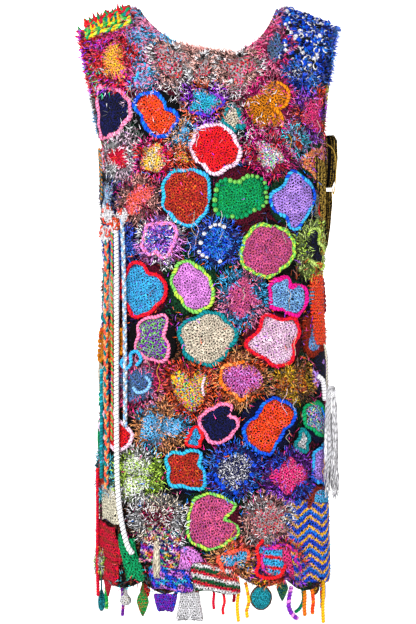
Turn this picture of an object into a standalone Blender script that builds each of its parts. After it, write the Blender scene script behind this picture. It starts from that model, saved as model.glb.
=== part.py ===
"""Sleeveless shift dress in freeform crochet, standing hollow as it does when worn.

Frame: metres, +Z up, -Y is the dress's front, +X is the viewer's right. The origin lies between the
shoulders, level with the top of the neck points, where a wearer carries the dress.

A panel is drawn flat, as a maker would cut it: s runs across it from its middle, h runs up it from
the hem. on_form() bends that pattern round a general figure. The cloth's inside lies on the form and
its outside stands out from it, further where a thick motif is sewn on.
"""

import math
import random
from collections import namedtuple

import bmesh
import bpy
import numpy as np
from mathutils import Vector
from mathutils.bvhtree import BVHTree
from mathutils.geometry import delaunay_2d_cdt

# ---- driving sizes -------------------------------------------------------------------------------
HEM_Z = -0.958
UNDERARM_Z = -0.237
SHOULDER_HALF = 0.206
NECK_HALF = 0.118
SHOULDER_DROP = 0.033
SIDE_LEAN = 0.009
GAP = 0.0003
CLOTH = 0.003
MOTIF_RISE = 0.003

# The figure's girth, from the hem up: half its width, and its depth before and behind the side seams.
Girth = namedtuple("Girth", "name z half_width front back")
GIRTHS = (
    Girth("hem", HEM_Z, 0.184, 0.126, 0.128),
    Girth("hip", -0.620, 0.181, 0.122, 0.132),
    Girth("waist", -0.420, 0.174, 0.114, 0.112),
    Girth("bust", -0.275, 0.177, 0.128, 0.112),
    Girth("underarm", UNDERARM_Z, 0.178, 0.124, 0.114),
)

# The pattern: its height to the underarm, the rise from there over the shoulder, and the half widths.
UNDERARM_H = UNDERARM_Z - HEM_Z
RISE = 0.280
TOP_H = UNDERARM_H + RISE
SPAN_BODY = 0.238
SPAN_CHEST = 0.211
CHEST_FROM = 0.35
CHEST_TURN = math.radians(62)
ARMHOLE_REACH = 0.058
ARMHOLE_ROUND = 0.85
ACROSS_EASE = 0.103
RISE_EASE = 0.150

# The neckline on the pattern: half its width, its depth before and behind, and how square it is.
NECK_SPAN = 0.114
NECK_DEPTH = {"front": 0.126, "back": 0.120}
NECK_TILT = {"front": 0.12, "back": 0.0}
NECK_SQUARE = 2.5

# The ragged hem is a row of lobes; soft flutes run up from it.
LOBE_WIDTH = SPAN_BODY / 3
LOBE_RISE = {"front": 0.017, "back": 0.015}
HEM_SWAY = 0.007
FLUTES = 11
BROAD_FLUTES = 5
FLUTE_DEPTH = 0.0036
FLUTE_HEIGHT = 0.55

# ---- the form ------------------------------------------------------------------------------------


def smooth(t):
    """0 to 1 with level ends."""
    t = np.clip(t, 0.0, 1.0)
    return t * t * (3 - 2 * t)


def girth(z, column):
    """A column of the girth table at height z, eased from row to row."""
    heights = np.array([row.z for row in GIRTHS])
    values = np.array([getattr(row, column) for row in GIRTHS])
    at = np.clip(np.searchsorted(heights, z) - 1, 0, len(heights) - 2)
    share = smooth((z - heights[at]) / (heights[at + 1] - heights[at]))
    return values[at] + (values[at + 1] - values[at]) * share


def half_span(h):
    """Half the pattern's width at height h: to the side seam, then to the armhole."""
    above = smooth((np.asarray(h, float) - UNDERARM_H) / (RISE * CHEST_FROM))
    return SPAN_BODY + (SPAN_CHEST - SPAN_BODY) * above


def bare_form(side, s, h):
    """The points of the figure under pattern points (s, h), without the cloth's own flutes."""
    s = np.asarray(s, float)
    h = np.asarray(h, float)
    forward = -1.0 if side == "front" else 1.0
    low_z = np.minimum(HEM_Z + h, UNDERARM_Z)
    rise = np.clip((h - UNDERARM_H) / RISE, 0.0, 1.0)
    lift = math.pi / 2 * rise - RISE_EASE * np.sin(math.pi * rise)
    width = girth(low_z, "half_width")
    depth = girth(low_z, side)
    edge_x = width + (SHOULDER_HALF - width) * smooth(rise)
    edge_y = ARMHOLE_REACH * np.sin(math.pi * rise**ARMHOLE_ROUND)
    centre_y = depth * np.cos(lift)
    turn = math.pi / 2 - (math.pi / 2 - CHEST_TURN) * smooth(rise / CHEST_FROM)
    share = s / half_span(h)
    ease = ACROSS_EASE / turn
    angle = turn * (share - ease * np.sin(2 * turn * share)) / (1 - ease * np.sin(2 * turn))
    x = edge_x * np.sin(angle) / np.sin(turn)
    y = forward * (centre_y + (edge_y - centre_y) * (1 - np.cos(angle)) / (1 - np.cos(turn)))
    slope = np.clip((np.abs(x) - NECK_HALF) / (SHOULDER_HALF - NECK_HALF), 0.0, 1.3)
    seam_z = -SHOULDER_DROP * slope
    z = low_z + (seam_z - UNDERARM_Z) * np.sin(lift)
    x = x + SIDE_LEAN * smooth((-z - 0.05) / 0.25)
    return np.stack([x, y, z], axis=-1)


def outward(side, s, h):
    """The unit normal of the form, away from the figure."""
    step = 0.0005
    across = bare_form(side, s + step, h) - bare_form(side, s - step, h)
    up = bare_form(side, s, h + step) - bare_form(side, s, h - step)
    normal = np.cross(across, up) * (1.0 if side == "front" else -1.0)
    return normal / np.linalg.norm(normal, axis=-1, keepdims=True)


def flutes(side, s, h):
    """How far the cloth waves in and out, deepest at the hem."""
    low = 1 - smooth(np.asarray(h, float) / FLUTE_HEIGHT)
    turn = 0.25 * np.asarray(s, float) / SPAN_BODY
    around = turn if side == "front" else 0.5 - turn
    wave = np.sin(2 * math.pi * FLUTES * around)
    wave = wave + 0.5 * np.sin(2 * math.pi * BROAD_FLUTES * around + 1.0)
    return FLUTE_DEPTH * low * wave


def on_form(side, s, h, out=0.0):
    """Pattern points (s, h) bent round the figure, standing out from the cloth's inside."""
    s = np.asarray(s, float)
    h = np.asarray(h, float)
    offset = flutes(side, s, h) + out
    return bare_form(side, s, h) + outward(side, s, h) * offset[..., None]


# ---- the motifs ----------------------------------------------------------------------------------

Motif = namedtuple("Motif", "s h radius shape turn edging core trim")

PITCH = 0.083
ROW_PITCH = 0.074
FIRST_ROW = 0.62
JITTER = 0.011
SMALLEST, LARGEST = 0.032, 0.050
INSIDE = 0.016
SETTLE_ROUNDS = 40
SETTLE_CROWD, SETTLE_PUSH, SETTLE_ROOM = 0.97, 0.22, 0.55
FILL_STEP = 0.007
FILL_SMALLEST = 0.0165
FILL_CROWD = 0.93
SEEDS = {"front": 41, "back": 77}
SHAPES = ("round", "round", "oval", "oval", "clover", "leaf", "heart")
EDGINGS = ("fuzzy", "fuzzy", "chain", "chain", "bobble", "fuzzy")
YARNS = 28


def hem_line(side, s):
    """The height of the ragged hem under s."""
    lobes = 1 - np.abs(np.cos(math.pi * np.asarray(s, float) / LOBE_WIDTH))
    sway = 1 + np.sin(np.asarray(s, float) * 23.0 + (0.6 if side == "front" else 2.1))
    return LOBE_RISE[side] * lobes + HEM_SWAY * sway


def neck_line(side, s):
    """The height of the neckline over s, or the shoulder's where there is no neck."""
    share = np.clip(np.asarray(s, float) / NECK_SPAN, -1.0, 1.0)
    bowl = (1 - np.abs(share) ** NECK_SQUARE) ** (1 / NECK_SQUARE)
    return TOP_H - NECK_DEPTH[side] * bowl * (1 + NECK_TILT[side] * share)


def neck_room(side, s, h):
    """How far outside the neckline a pattern point lies."""
    below = float(neck_line(side, s)) - h
    if abs(s) >= NECK_SPAN:
        below = NECK_SPAN
    depth = (TOP_H - h) / NECK_DEPTH[side]
    if depth >= 1:
        return below
    beside = abs(s) - NECK_SPAN * (1 - max(depth, 0.0) ** NECK_SQUARE) ** (1 / NECK_SQUARE)
    if below <= 0 or beside <= 0:
        return min(below, beside)
    return below * beside / math.hypot(below, beside)


def room(side, s, h):
    """How far inside its panel a pattern point lies, less than nothing outside it."""
    return min(
        float(half_span(h)) - abs(s),
        h - float(hem_line(side, s)),
        TOP_H - h,
        neck_room(side, s, h),
    )


def scatter(side):
    """The motifs of a panel: uneven rows of discs, pushed apart until they fill the panel."""
    rng = random.Random(SEEDS[side])
    found = []
    for row in range(int(TOP_H / ROW_PITCH) + 1):
        h = ROW_PITCH * (row + FIRST_ROW)
        span = float(half_span(h))
        count = int(2 * span / PITCH + 0.5) - row % 2
        for column in range(count):
            s = 2 * span * ((column + 0.5) / count - 0.5) + rng.uniform(-JITTER, JITTER)
            place = h + rng.uniform(-JITTER, JITTER)
            radius = rng.uniform(SMALLEST, LARGEST)
            looks = (
                rng.choice(SHAPES),
                rng.uniform(0, 2 * math.pi),
                rng.choice(EDGINGS),
                rng.randrange(YARNS),
                rng.randrange(YARNS),
            )
            if room(side, s, min(place, TOP_H)) > INSIDE:
                found.append([s, place, radius, *looks])
    for _ in range(SETTLE_ROUNDS):
        settle(side, found)
    fill_in(side, found, rng)
    return [Motif(*values) for values in found]


def fill_in(side, found, rng):
    """Small motifs in the widest places that are left bare."""
    across = np.arange(FILL_STEP / 2 - SPAN_BODY, SPAN_BODY, FILL_STEP)
    spots = [(float(s), float(h)) for s in across for h in np.arange(0.0, TOP_H, FILL_STEP)]
    spread = np.array(spots)
    free = np.array([room(side, s, h) for s, h in spots])

    def crowd(one):
        gaps = np.hypot(spread[:, 0] - one[0], spread[:, 1] - one[1]) - FILL_CROWD * one[2]
        np.minimum(free, gaps, out=free)

    for one in found:
        crowd(one)
    while free.max() > FILL_SMALLEST:
        widest = int(free.argmax())
        looks = ("round", rng.uniform(0, 2 * math.pi), rng.choice(EDGINGS))
        yarns = (rng.randrange(YARNS), rng.randrange(YARNS))
        found.append([*spots[widest], float(free[widest]), *looks, *yarns])
        crowd(found[-1])


def settle(side, found):
    """One round of pushing: crowded motifs give way, and none leaves its panel."""
    for i, one in enumerate(found):
        for other in found[i + 1 :]:
            ds, dh = other[0] - one[0], other[1] - one[1]
            apart = math.hypot(ds, dh)
            crowding = (one[2] + other[2]) * SETTLE_CROWD - apart
            if crowding > 0:
                push = SETTLE_PUSH * crowding / apart
                for end, sign in ((one, -1), (other, 1)):
                    moved = (end[0] + sign * push * ds, end[1] + sign * push * dh)
                    if room(side, *moved) > SETTLE_ROOM * end[2]:
                        end[0], end[1] = moved


def shape_share(shape, angle):
    """The outline of a motif's kind: its reach at an angle, as a share of its radius."""
    if shape == "oval":
        return 0.82 / math.sqrt(1 - 0.42 * math.cos(angle) ** 2)
    if shape == "clover":
        return 0.92 + 0.11 * math.cos(5 * angle)
    if shape == "leaf":
        return 0.70 + 0.42 * abs(math.cos(angle)) ** 2.5
    if shape == "heart":
        return 0.98 - 0.30 * math.exp(-((angle % (2 * math.pi) - math.pi) ** 2) / 0.12)
    return 1.0


def outline(side, motif, others, count, margin):
    """A motif's outline as count reaches from its centre, held inside its own cell by margin."""
    reaches = []
    for step in range(count):
        angle = 2 * math.pi * step / count
        across, up = math.cos(angle), math.sin(angle)
        reach = motif.radius * REACH * shape_share(motif.shape, angle - motif.turn)
        for other in others:
            ds, dh = other.s - motif.s, other.h - motif.h
            along = ds * across + dh * up
            if other is not motif and along > 0:
                cut = (ds * ds + dh * dh + motif.radius**2 - other.radius**2) / (2 * along)
                reach = min(reach, cut - margin)
        while reach > LEAST_REACH:
            place = (motif.s + across * (reach + margin), motif.h + up * (reach + margin))
            if room(side, *place) > EDGE_MARGIN:
                break
            reach -= REACH_STEP
        reaches.append(reach)
    return soften(reaches)


def soften(reaches):
    """Rounds an outline's corners off, never outwards."""
    count = len(reaches)
    width = max(1, count // 18)
    result = []
    for i, reach in enumerate(reaches):
        near = [reaches[(i + k) % count] for k in range(-width, width + 1)]
        result.append(min(reach, sum(near) / len(near)))
    return result


# ---- the panels ----------------------------------------------------------------------------------

HEM_STEPS, SIDE_STEPS, ARMHOLE_STEPS, SHOULDER_STEPS, NECK_STEPS = 36, 22, 10, 4, 18
OUTLINE_STEPS = 9
CREST_SHARE = 0.80
CREST_RISE = {"fuzzy": 0.0065, "chain": 0.0050, "bobble": 0.0060}
FOOT_RISE = 0.0010
CELL_MARGIN = 0.0022
EDGE_MARGIN = 0.0035
REACH, LEAST_REACH, REACH_STEP = 1.12, 0.006, 0.0015

# The gaps that show between motifs: where they lie on the pattern, and how big they are.
Slit = namedtuple("Slit", "side s h half_width half_height")
SLITS = (
    Slit("front", -0.176, 0.052, 0.009, 0.006),
    Slit("back", 0.120, 0.060, 0.008, 0.006),
)
SLIT_STEPS = 8
SLIT_CLEAR = 1.7


def border(side):
    """The panel's cut edge as pattern points, anticlockwise from the hem's left end."""
    hem_s = np.linspace(-SPAN_BODY, SPAN_BODY, HEM_STEPS + 1)
    low = [(s, float(hem_line(side, s))) for s in hem_s]
    corner = low[-1][1]
    rises = [corner + (UNDERARM_H - corner) * i / SIDE_STEPS for i in range(1, SIDE_STEPS + 1)]
    rises += [UNDERARM_H + RISE * i / ARMHOLE_STEPS for i in range(1, ARMHOLE_STEPS + 1)]
    right = [(float(half_span(h)), h) for h in rises]
    seam_s = np.linspace(SPAN_CHEST, NECK_SPAN, SHOULDER_STEPS + 1)[1:]
    seam = [(float(s), TOP_H) for s in seam_s]
    neck = neck_stations(side)[1:-1]
    corner = low[0][1]
    falls = [corner + (UNDERARM_H - corner) * i / SIDE_STEPS for i in range(1, SIDE_STEPS + 1)]
    falls += [UNDERARM_H + RISE * i / ARMHOLE_STEPS for i in range(1, ARMHOLE_STEPS + 1)]
    left = [(-float(half_span(h)), h) for h in reversed(falls)]
    return low + right + seam + neck[::-1] + [(-s, h) for s, h in reversed(seam)] + left


def neck_stations(side):
    """Pattern points along the neckline, left to right, closer where it turns."""
    angles = [math.pi * i / NECK_STEPS for i in range(NECK_STEPS + 1)]
    spots = [-NECK_SPAN * math.copysign(abs(math.cos(a)) ** 0.8, math.cos(a)) for a in angles]
    return [(s, float(neck_line(side, s))) for s in spots]


def slit_ring(slit):
    """The edge of a gap as pattern points."""
    turns = [2 * math.pi * i / SLIT_STEPS for i in range(SLIT_STEPS)]
    return [
        (slit.s + slit.half_width * math.cos(a), slit.h + slit.half_height * math.sin(a))
        for a in turns
    ]


def in_slit(slits, s, h, grow=1.0):
    """Whether a pattern point lies in one of the gaps, grown by a factor."""
    return any(
        math.hypot((s - one.s) / one.half_width, (h - one.h) / one.half_height) < grow
        for one in slits
    )


def joined(points, loops, slits):
    """Triangles over the pattern points, with the loops of indices kept as edges."""
    edges = [(loop[i], loop[(i + 1) % len(loop)]) for loop in loops for i in range(len(loop))]
    spots = [Vector(point) for point in points]
    made, _, faces, sources, _, _ = delaunay_2d_cdt(spots, edges, [], 1, 1e-7)
    index = [source[0] for source in sources]
    kept = []
    for face in faces:
        s = sum(made[i][0] for i in face) / 3
        h = sum(made[i][1] for i in face) / 3
        if not in_slit(slits, s, h, math.cos(math.pi / SLIT_STEPS)):
            kept.append([index[i] for i in face])
    return kept


def panel(side, name, finish):
    """One wall of patchwork: a plain inside on the form, and an outside raised over each motif."""
    slits = [slit for slit in SLITS if slit.side == side]
    points, loops, heights = [], [], []

    def add(ring, height, closed=True):
        first = len(points)
        points.extend(ring)
        heights.extend([height] * len(ring))
        if closed:
            loops.append(list(range(first, len(points))))

    add(border(side), CLOTH)
    seams = len(points)
    for slit in slits:
        add(slit_ring(slit), CLOTH)
    rims = len(loops)
    motifs = scatter(side)
    inner = []
    for motif in motifs:
        reaches = outline(side, motif, motifs, OUTLINE_STEPS, CELL_MARGIN)
        ring = ring_points(motif, reaches, 1.0)
        if any(in_slit(slits, s, h, SLIT_CLEAR) for s, h in ring):
            ring = [(s, h) for s, h in ring if not in_slit(slits, s, h, SLIT_CLEAR)]
            add(ring, CLOTH + FOOT_RISE, closed=False)
            continue
        crest = ring_points(motif, reaches, CREST_SHARE)
        add(ring, CLOTH + FOOT_RISE)
        inner.append(loops[-1])
        add(crest, CLOTH + CREST_RISE[motif.edging])
        add([(motif.s, motif.h)], CLOTH + MOTIF_RISE, closed=False)
        inner.append([len(points) - 1])
    heights = [
        min(height, CLOTH + FOOT_RISE) if under_strip(side, *point) else height
        for point, height in zip(points, heights)
    ]
    outside = joined(points, loops, slits)
    plain = [i for loop in loops[:rims] for i in loop] + [i for loop in inner for i in loop]
    place = {old: new for new, old in enumerate(plain)}
    inside = joined(
        [points[i] for i in plain], [[place[i] for i in loop] for loop in loops[:rims]], slits
    )
    s, h = np.array(points).T
    outer = on_form(side, s, h, np.array(heights))
    lining = on_form(side, s, h)
    seam_y = GAP / 2 * (-1 if side == "front" else 1)
    for i in range(seams):
        on_side = abs(points[i][0]) > float(half_span(points[i][1])) - 1e-6
        if (on_side and points[i][1] <= UNDERARM_H + 1e-6) or points[i][1] > TOP_H - 1e-6:
            outer[i][1] = lining[i][1] = seam_y
    count = len(points)
    rows = [tuple(point) for point in outer] + [tuple(lining[i]) for i in plain]
    faces = outside + [[count + i for i in face] for face in inside]
    for loop in loops[:rims]:
        for start, end in zip(loop, loop[1:] + loop[:1]):
            faces.append((start, end, count + place[end], count + place[start]))
    return solid(name, rows, faces, finish)


def ring_points(motif, reaches, share):
    """Pattern points round a motif at a share of its reaches."""
    steps = [2 * math.pi * i / len(reaches) for i in range(len(reaches))]
    return [
        (motif.s + share * r * math.cos(a), motif.h + share * r * math.sin(a))
        for a, r in zip(steps, reaches)
    ]


# ---- shared makers -------------------------------------------------------------------------------

Finish = namedtuple("Finish", "name colour roughness")


def material(finish):
    """A matt yarn in one colour."""
    made = bpy.data.materials.get(finish.name) or bpy.data.materials.new(finish.name)
    made.use_nodes = True
    shader = made.node_tree.nodes["Principled BSDF"]
    shader.inputs["Base Color"].default_value = (*finish.colour, 1.0)
    shader.inputs["Roughness"].default_value = finish.roughness
    made.diffuse_color = (*finish.colour, 1.0)
    return made


def solid(name, points, faces, finish):
    """A named closed body from points and faces, with its faces turned outwards."""
    mesh = bpy.data.meshes.new(name)
    mesh.from_pydata([tuple(map(float, point)) for point in points], [], faces)
    bm = bmesh.new()
    bm.from_mesh(mesh)
    bmesh.ops.recalc_face_normals(bm, faces=bm.faces)
    bm.to_mesh(mesh)
    bm.free()
    mesh.shade_smooth()
    mesh.materials.append(material(finish))
    body = bpy.data.objects.new(name, mesh)
    bpy.context.scene.collection.objects.link(body)
    return body


def smooth_path(stops, steps):
    """A smooth curve through stops, as steps points a stretch: each bends as its neighbours do."""
    rows = [Vector(stop) for stop in stops]
    rows = [2 * rows[0] - rows[1], *rows, 2 * rows[-1] - rows[-2]]
    path = []
    for before, start, end, after in zip(rows, rows[1:], rows[2:], rows[3:]):
        for i in range(steps):
            t = i / steps
            path.append(
                0.5
                * (
                    2 * start
                    + (end - before) * t
                    + (2 * before - 5 * start + 4 * end - after) * t**2
                    + (3 * start - before - 3 * end + after) * t**3
                )
            )
    return path + [rows[-2]]


def tube(name, centres, across, radius, sides, finish):
    """A closed ring of tube round centres, its section laid out along each pair of directions."""
    points = []
    for centre, (one, other) in zip(centres, across):
        for k in range(sides):
            a = 2 * math.pi * k / sides
            points.append(Vector(centre) + radius * (math.cos(a) * one + math.sin(a) * other))
    count = len(centres)
    faces = []
    for i in range(count):
        for k in range(sides):
            low, high = i * sides, (i + 1) % count * sides
            faces.append((low + k, low + (k + 1) % sides, high + (k + 1) % sides, high + k))
    return solid(name, points, faces, finish)


def loft(name, sections, finish):
    """A closed body through sections, each a ring of points, with its ends capped."""
    sides = len(sections[0])
    points = [point for section in sections for point in section]
    faces = [tuple(range(sides))[::-1]]
    for i in range(len(sections) - 1):
        for k in range(sides):
            low, high, after = i * sides, (i + 1) * sides, (k + 1) % sides
            faces.append((low + k, low + after, high + after, high + k))
    faces.append(tuple((len(sections) - 1) * sides + k for k in range(sides)))
    return solid(name, points, faces, finish)


def section(centre, across, out, half_width, half_thick, sides=8):
    """A flattened ring of points round a centre, wide along across and thin along out."""
    ring = []
    for k in range(sides):
        a = 2 * math.pi * (k + 0.5) / sides
        wide = math.copysign(abs(math.cos(a)) ** 0.7, math.cos(a)) * half_width
        thick = math.copysign(abs(math.sin(a)) ** 0.7, math.sin(a)) * half_thick
        ring.append(Vector(centre) + wide * Vector(across) + thick * Vector(out))
    return ring


def cord(name, path, radius, finish):
    """A hanging cord: a round tube along a path, with flat ends."""
    curve = bpy.data.curves.new(name, "CURVE")
    curve.dimensions = "3D"
    curve.bevel_depth = radius
    curve.bevel_resolution = 2
    curve.use_fill_caps = True
    spline = curve.splines.new("POLY")
    spline.points.add(len(path) - 1)
    for stop, point in zip(spline.points, path):
        stop.co = (*point, 1.0)
    curve.materials.append(material(finish))
    body = bpy.data.objects.new(name, curve)
    bpy.context.scene.collection.objects.link(body)
    return body


# ---- seating -------------------------------------------------------------------------------------

SEAT_REACH = 0.06
SEAT_STEP = 0.001
SEAT_GAP = 0.0004


def shape_of(body):
    """A body's points and triangles as Blender evaluates it."""
    graph = bpy.context.evaluated_depsgraph_get()
    made = body.evaluated_get(graph)
    mesh = made.to_mesh()
    mesh.calc_loop_triangles()
    points = [body.matrix_world @ vertex.co for vertex in mesh.vertices]
    triangles = [tuple(triangle.vertices) for triangle in mesh.loop_triangles]
    made.to_mesh_clear()
    return points, triangles


def samples(points, triangles, low, high):
    """Points along a body's edges, every few millimetres, inside a box."""
    edges = {tuple(sorted(pair)) for t in triangles for pair in zip(t, t[1:] + t[:1])}
    found = []
    for a, b in edges:
        start, end = points[a], points[b]
        count = max(1, int((end - start).length / SEAT_STEP))
        for i in range(count + 1):
            spot = start.lerp(end, i / count)
            if all(low[k] <= spot[k] <= high[k] for k in range(3)):
                found.append(spot)
    return found


def seat(body, carriers, direction):
    """Slides a body along a direction until it all but touches what carries it."""
    bpy.context.view_layer.update()
    way = Vector(direction).normalized()
    points, triangles = shape_of(body)
    own = BVHTree.FromPolygons(points, triangles)
    low = [min(p[k] for p in points) - SEAT_REACH for k in range(3)]
    high = [max(p[k] for p in points) + SEAT_REACH for k in range(3)]
    travel = []
    for carrier in carriers:
        far_points, far_triangles = shape_of(carrier)
        other = BVHTree.FromPolygons(far_points, far_triangles)
        for spot in samples(points, triangles, low, high):
            distance = other.ray_cast(spot, way, SEAT_REACH)[3]
            if distance is not None:
                travel.append(distance)
        for spot in samples(far_points, far_triangles, low, high):
            distance = own.ray_cast(spot, -way, SEAT_REACH)[3]
            if distance is not None:
                travel.append(distance)
    if not travel:
        raise RuntimeError(f"{body.name} has nothing to rest on")
    body.location = body.location + way * (min(travel) - SEAT_GAP)
    return body


# ---- edgings -------------------------------------------------------------------------------------

NECK_CORD, LEFT_ROPE, RIGHT_CORD = 0.0030, 0.0048, 0.0042
EDGING_SIDES = 8
EDGING_CLEAR = 0.0005
LEAST_MITER = 0.45


def edging(name, stops, radius, turn, finish):
    """A cord laid along a cut edge that runs through (side, s, h) stops and closes on itself."""
    places = [Vector(on_form(side, s, h, CLOTH / 2)) for side, s, h in stops]
    normals = [Vector(outward(side, s, h)) for side, s, h in stops]
    count = len(places)
    centres, across = [], []
    for i in range(count):
        before = (places[i] - places[i - 1]).normalized()
        after = (places[(i + 1) % count] - places[i]).normalized()
        clear = [normals[i].cross(run).normalized() * turn for run in (before, after)]
        away = (clear[0] + clear[1]).normalized()
        miter = 1 / max(LEAST_MITER, away.dot(clear[0]))
        centres.append(places[i] + away * (radius + EDGING_CLEAR) * miter)
        across.append((away, normals[i]))
    return tube(name, centres, across, radius, EDGING_SIDES, finish)


def armhole_stops(sign):
    """The armhole's edge as stops, up the front and down the back."""
    rises = [UNDERARM_H + RISE * i / ARMHOLE_STEPS for i in range(ARMHOLE_STEPS + 1)]
    front = [("front", sign * float(half_span(h)), h) for h in rises]
    back = [("back", sign * float(half_span(h)), h) for h in reversed(rises[1:-1])]
    return front + back


def neck_stops():
    """The neck's edge as stops, along the front and back again."""
    front = [("front", s, h) for s, h in neck_stations("front")]
    back = [("back", s, h) for s, h in reversed(neck_stations("back")[1:-1])]
    return front + back


# ---- what lies on the panels ---------------------------------------------------------------------

# A strip sewn over the right side: its place on the front's pattern, and how thick it is.
Strip = namedtuple("Strip", "name s low_z high_z half_width thick finish")
ORANGE = Finish("orange_yarn", (0.80, 0.13, 0.03), 0.9)
BLACK = Finish("black_yarn", (0.02, 0.02, 0.025), 0.9)
STRIPS = (
    Strip("side_strip", 0.214, -0.556, -0.418, 0.014, 0.006, ORANGE),
    Strip("side_patch", 0.214, -0.648, -0.562, 0.012, 0.004, BLACK),
)
STRIP_STEPS = 9
STRIP_CLEAR = 0.010
STRIP_GAP = 0.0012
STRIP_SECTION = ((-1, 0.2), (-1, 0.7), (-0.5, 1), (0.5, 1), (1, 0.7), (1, 0.2), (0, 0))


def under_strip(side, s, h):
    """Whether a strip covers a pattern point, so that the patchwork under it lies flat."""
    return side == "front" and any(
        abs(s - strip.s) < strip.half_width + STRIP_CLEAR
        and strip.low_z - STRIP_CLEAR < HEM_Z + h < strip.high_z + STRIP_CLEAR
        for strip in STRIPS
    )


def side_strip(strip):
    """A thick strip laid along the side on the front panel's own points, moved out."""
    sections = []
    for i in range(STRIP_STEPS + 1):
        share = i / STRIP_STEPS
        h = strip.high_z + (strip.low_z - strip.high_z) * share - HEM_Z
        ends = 1 - 0.35 * abs(2 * share - 1) ** 4
        ring = []
        for wide, rise in STRIP_SECTION:
            out = CLOTH + 2 * FOOT_RISE + STRIP_GAP + strip.thick * rise
            spot = on_form("front", strip.s + wide * ends * strip.half_width, h, out)
            ring.append(Vector(spot))
        sections.append(ring)
    return loft(strip.name, sections, strip.finish)


# A rosette on the left side: its place on the front's pattern, its radius, and its thickness.
Rosette = namedtuple("Rosette", "name s z radius thick")
ROSETTES = (
    Rosette("rosette_top", -0.190, -0.338, 0.0100, 0.0060),
    Rosette("rosette_right", -0.172, -0.356, 0.0095, 0.0060),
    Rosette("rosette_far", -0.155, -0.343, 0.0085, 0.0055),
    Rosette("rosette_low", -0.196, -0.372, 0.0105, 0.0065),
)
ROSETTE_SIDES = 12
ROSETTE_LEVELS = ((0.0, 0.85), (0.35, 1.0), (0.7, 0.95), (1.0, 0.55))
SEAT_FROM = 0.016
WHITE = Finish("white_yarn", (0.82, 0.80, 0.76), 0.9)


def rosette(one, carriers):
    """A small crochet wheel, flat on the side of the front panel."""
    h = one.z - HEM_Z
    out = Vector(outward("front", one.s, h))
    centre = Vector(on_form("front", one.s, h, SEAT_FROM))
    across = Vector((0, 0, 1)).cross(out).normalized()
    up = out.cross(across)
    rings = []
    for level, share in ROSETTE_LEVELS:
        ring = []
        for k in range(ROSETTE_SIDES):
            a = 2 * math.pi * k / ROSETTE_SIDES
            spoke = math.cos(a) * across + math.sin(a) * up
            ring.append(centre + out * level * one.thick + spoke * share * one.radius)
        rings.append(ring)
    return seat(loft(one.name, rings, WHITE), carriers, -out)


LOOP_S, LOOP_Z = -0.222, -0.270
LOOP_HALF_WIDTH, LOOP_HALF_HEIGHT = 0.009, 0.044
LOOP_YARN = 0.0022
LOOP_STEPS, LOOP_SIDES = 18, 6
LOOP_YARNS = Finish("loop", (0.30, 0.40, 0.25), 0.9)


def side_loop(carriers):
    """A closed loop of yarn that hangs from the left underarm, round the side."""
    centres = []
    for i in range(LOOP_STEPS):
        a = 2 * math.pi * i / LOOP_STEPS
        s = LOOP_S + LOOP_HALF_WIDTH * math.cos(a)
        h = LOOP_Z + LOOP_HALF_HEIGHT * math.sin(a) - HEM_Z
        centres.append(Vector(on_form("front", s, h, SEAT_FROM)))
    out = Vector(outward("front", LOOP_S, LOOP_Z - HEM_Z))
    frames = []
    for i in range(LOOP_STEPS):
        run = (centres[(i + 1) % LOOP_STEPS] - centres[i - 1]).normalized()
        frames.append((run.cross(out).normalized(), out))
    made = tube("side_loop", centres, frames, LOOP_YARN, LOOP_SIDES, LOOP_YARNS)
    return seat(made, carriers, -out)


# A ribbed flap that stands out from the right side seam: rows from its top to its foot.
FlapRow = namedtuple("FlapRow", "z half_width behind")
NAVY = Finish("navy_rib", (0.03, 0.04, 0.10), 0.9)
FLAP_THICK = 0.0022
FLAP_TURN = math.radians(32)
FLAP_CLEAR = 0.020
FLAPS = {
    "side_flap_upper": (
        FlapRow(-0.206, 0.0110, 0.004),
        FlapRow(-0.215, 0.0140, 0.003),
        FlapRow(-0.245, 0.0145, 0.001),
        FlapRow(-0.280, 0.0125, 0.000),
        FlapRow(-0.294, 0.0090, 0.000),
    ),
    "side_flap_lower": (
        FlapRow(-0.300, 0.0100, 0.000),
        FlapRow(-0.320, 0.0105, 0.000),
        FlapRow(-0.360, 0.0085, 0.000),
        FlapRow(-0.390, 0.0060, 0.000),
        FlapRow(-0.402, 0.0030, 0.000),
    ),
}


def side_flap(name, rows, carriers):
    """A flap of rib, rooted at the side seam and turned forwards."""
    across = Vector((math.cos(FLAP_TURN), -math.sin(FLAP_TURN), 0))
    out = Vector((math.sin(FLAP_TURN), math.cos(FLAP_TURN), 0))
    root = SIDE_LEAN + float(girth(UNDERARM_Z, "half_width")) + FLAP_CLEAR
    sections = []
    for row in rows:
        centre = Vector((root, row.behind, row.z)) + across * row.half_width
        sections.append(section(centre, across, out, row.half_width, FLAP_THICK))
    return seat(loft(name, sections, NAVY), carriers, (-1, 0, 0))


# ---- tassels -------------------------------------------------------------------------------------

Tassel = namedtuple("Tassel", "name place head length columns rows strand seat_way")
TASSELS = (
    Tassel("side_tassel", (0.206, -0.056, -0.622), 0.046, 0.190, 4, 3, 0.0030, (-0.7, 0.7, 0)),
    Tassel("hem_tassel", (-0.088, -0.135, -0.872), 0.030, 0.062, 3, 2, 0.0022, (0.3, 1, 0)),
)
STRAND_STEPS = 4
HEAD_LEVELS = ((0.75, 1.05), (0.45, 0.62), (0.22, 0.72), (0.0, 0.50))
SHORTER = 0.05


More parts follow.
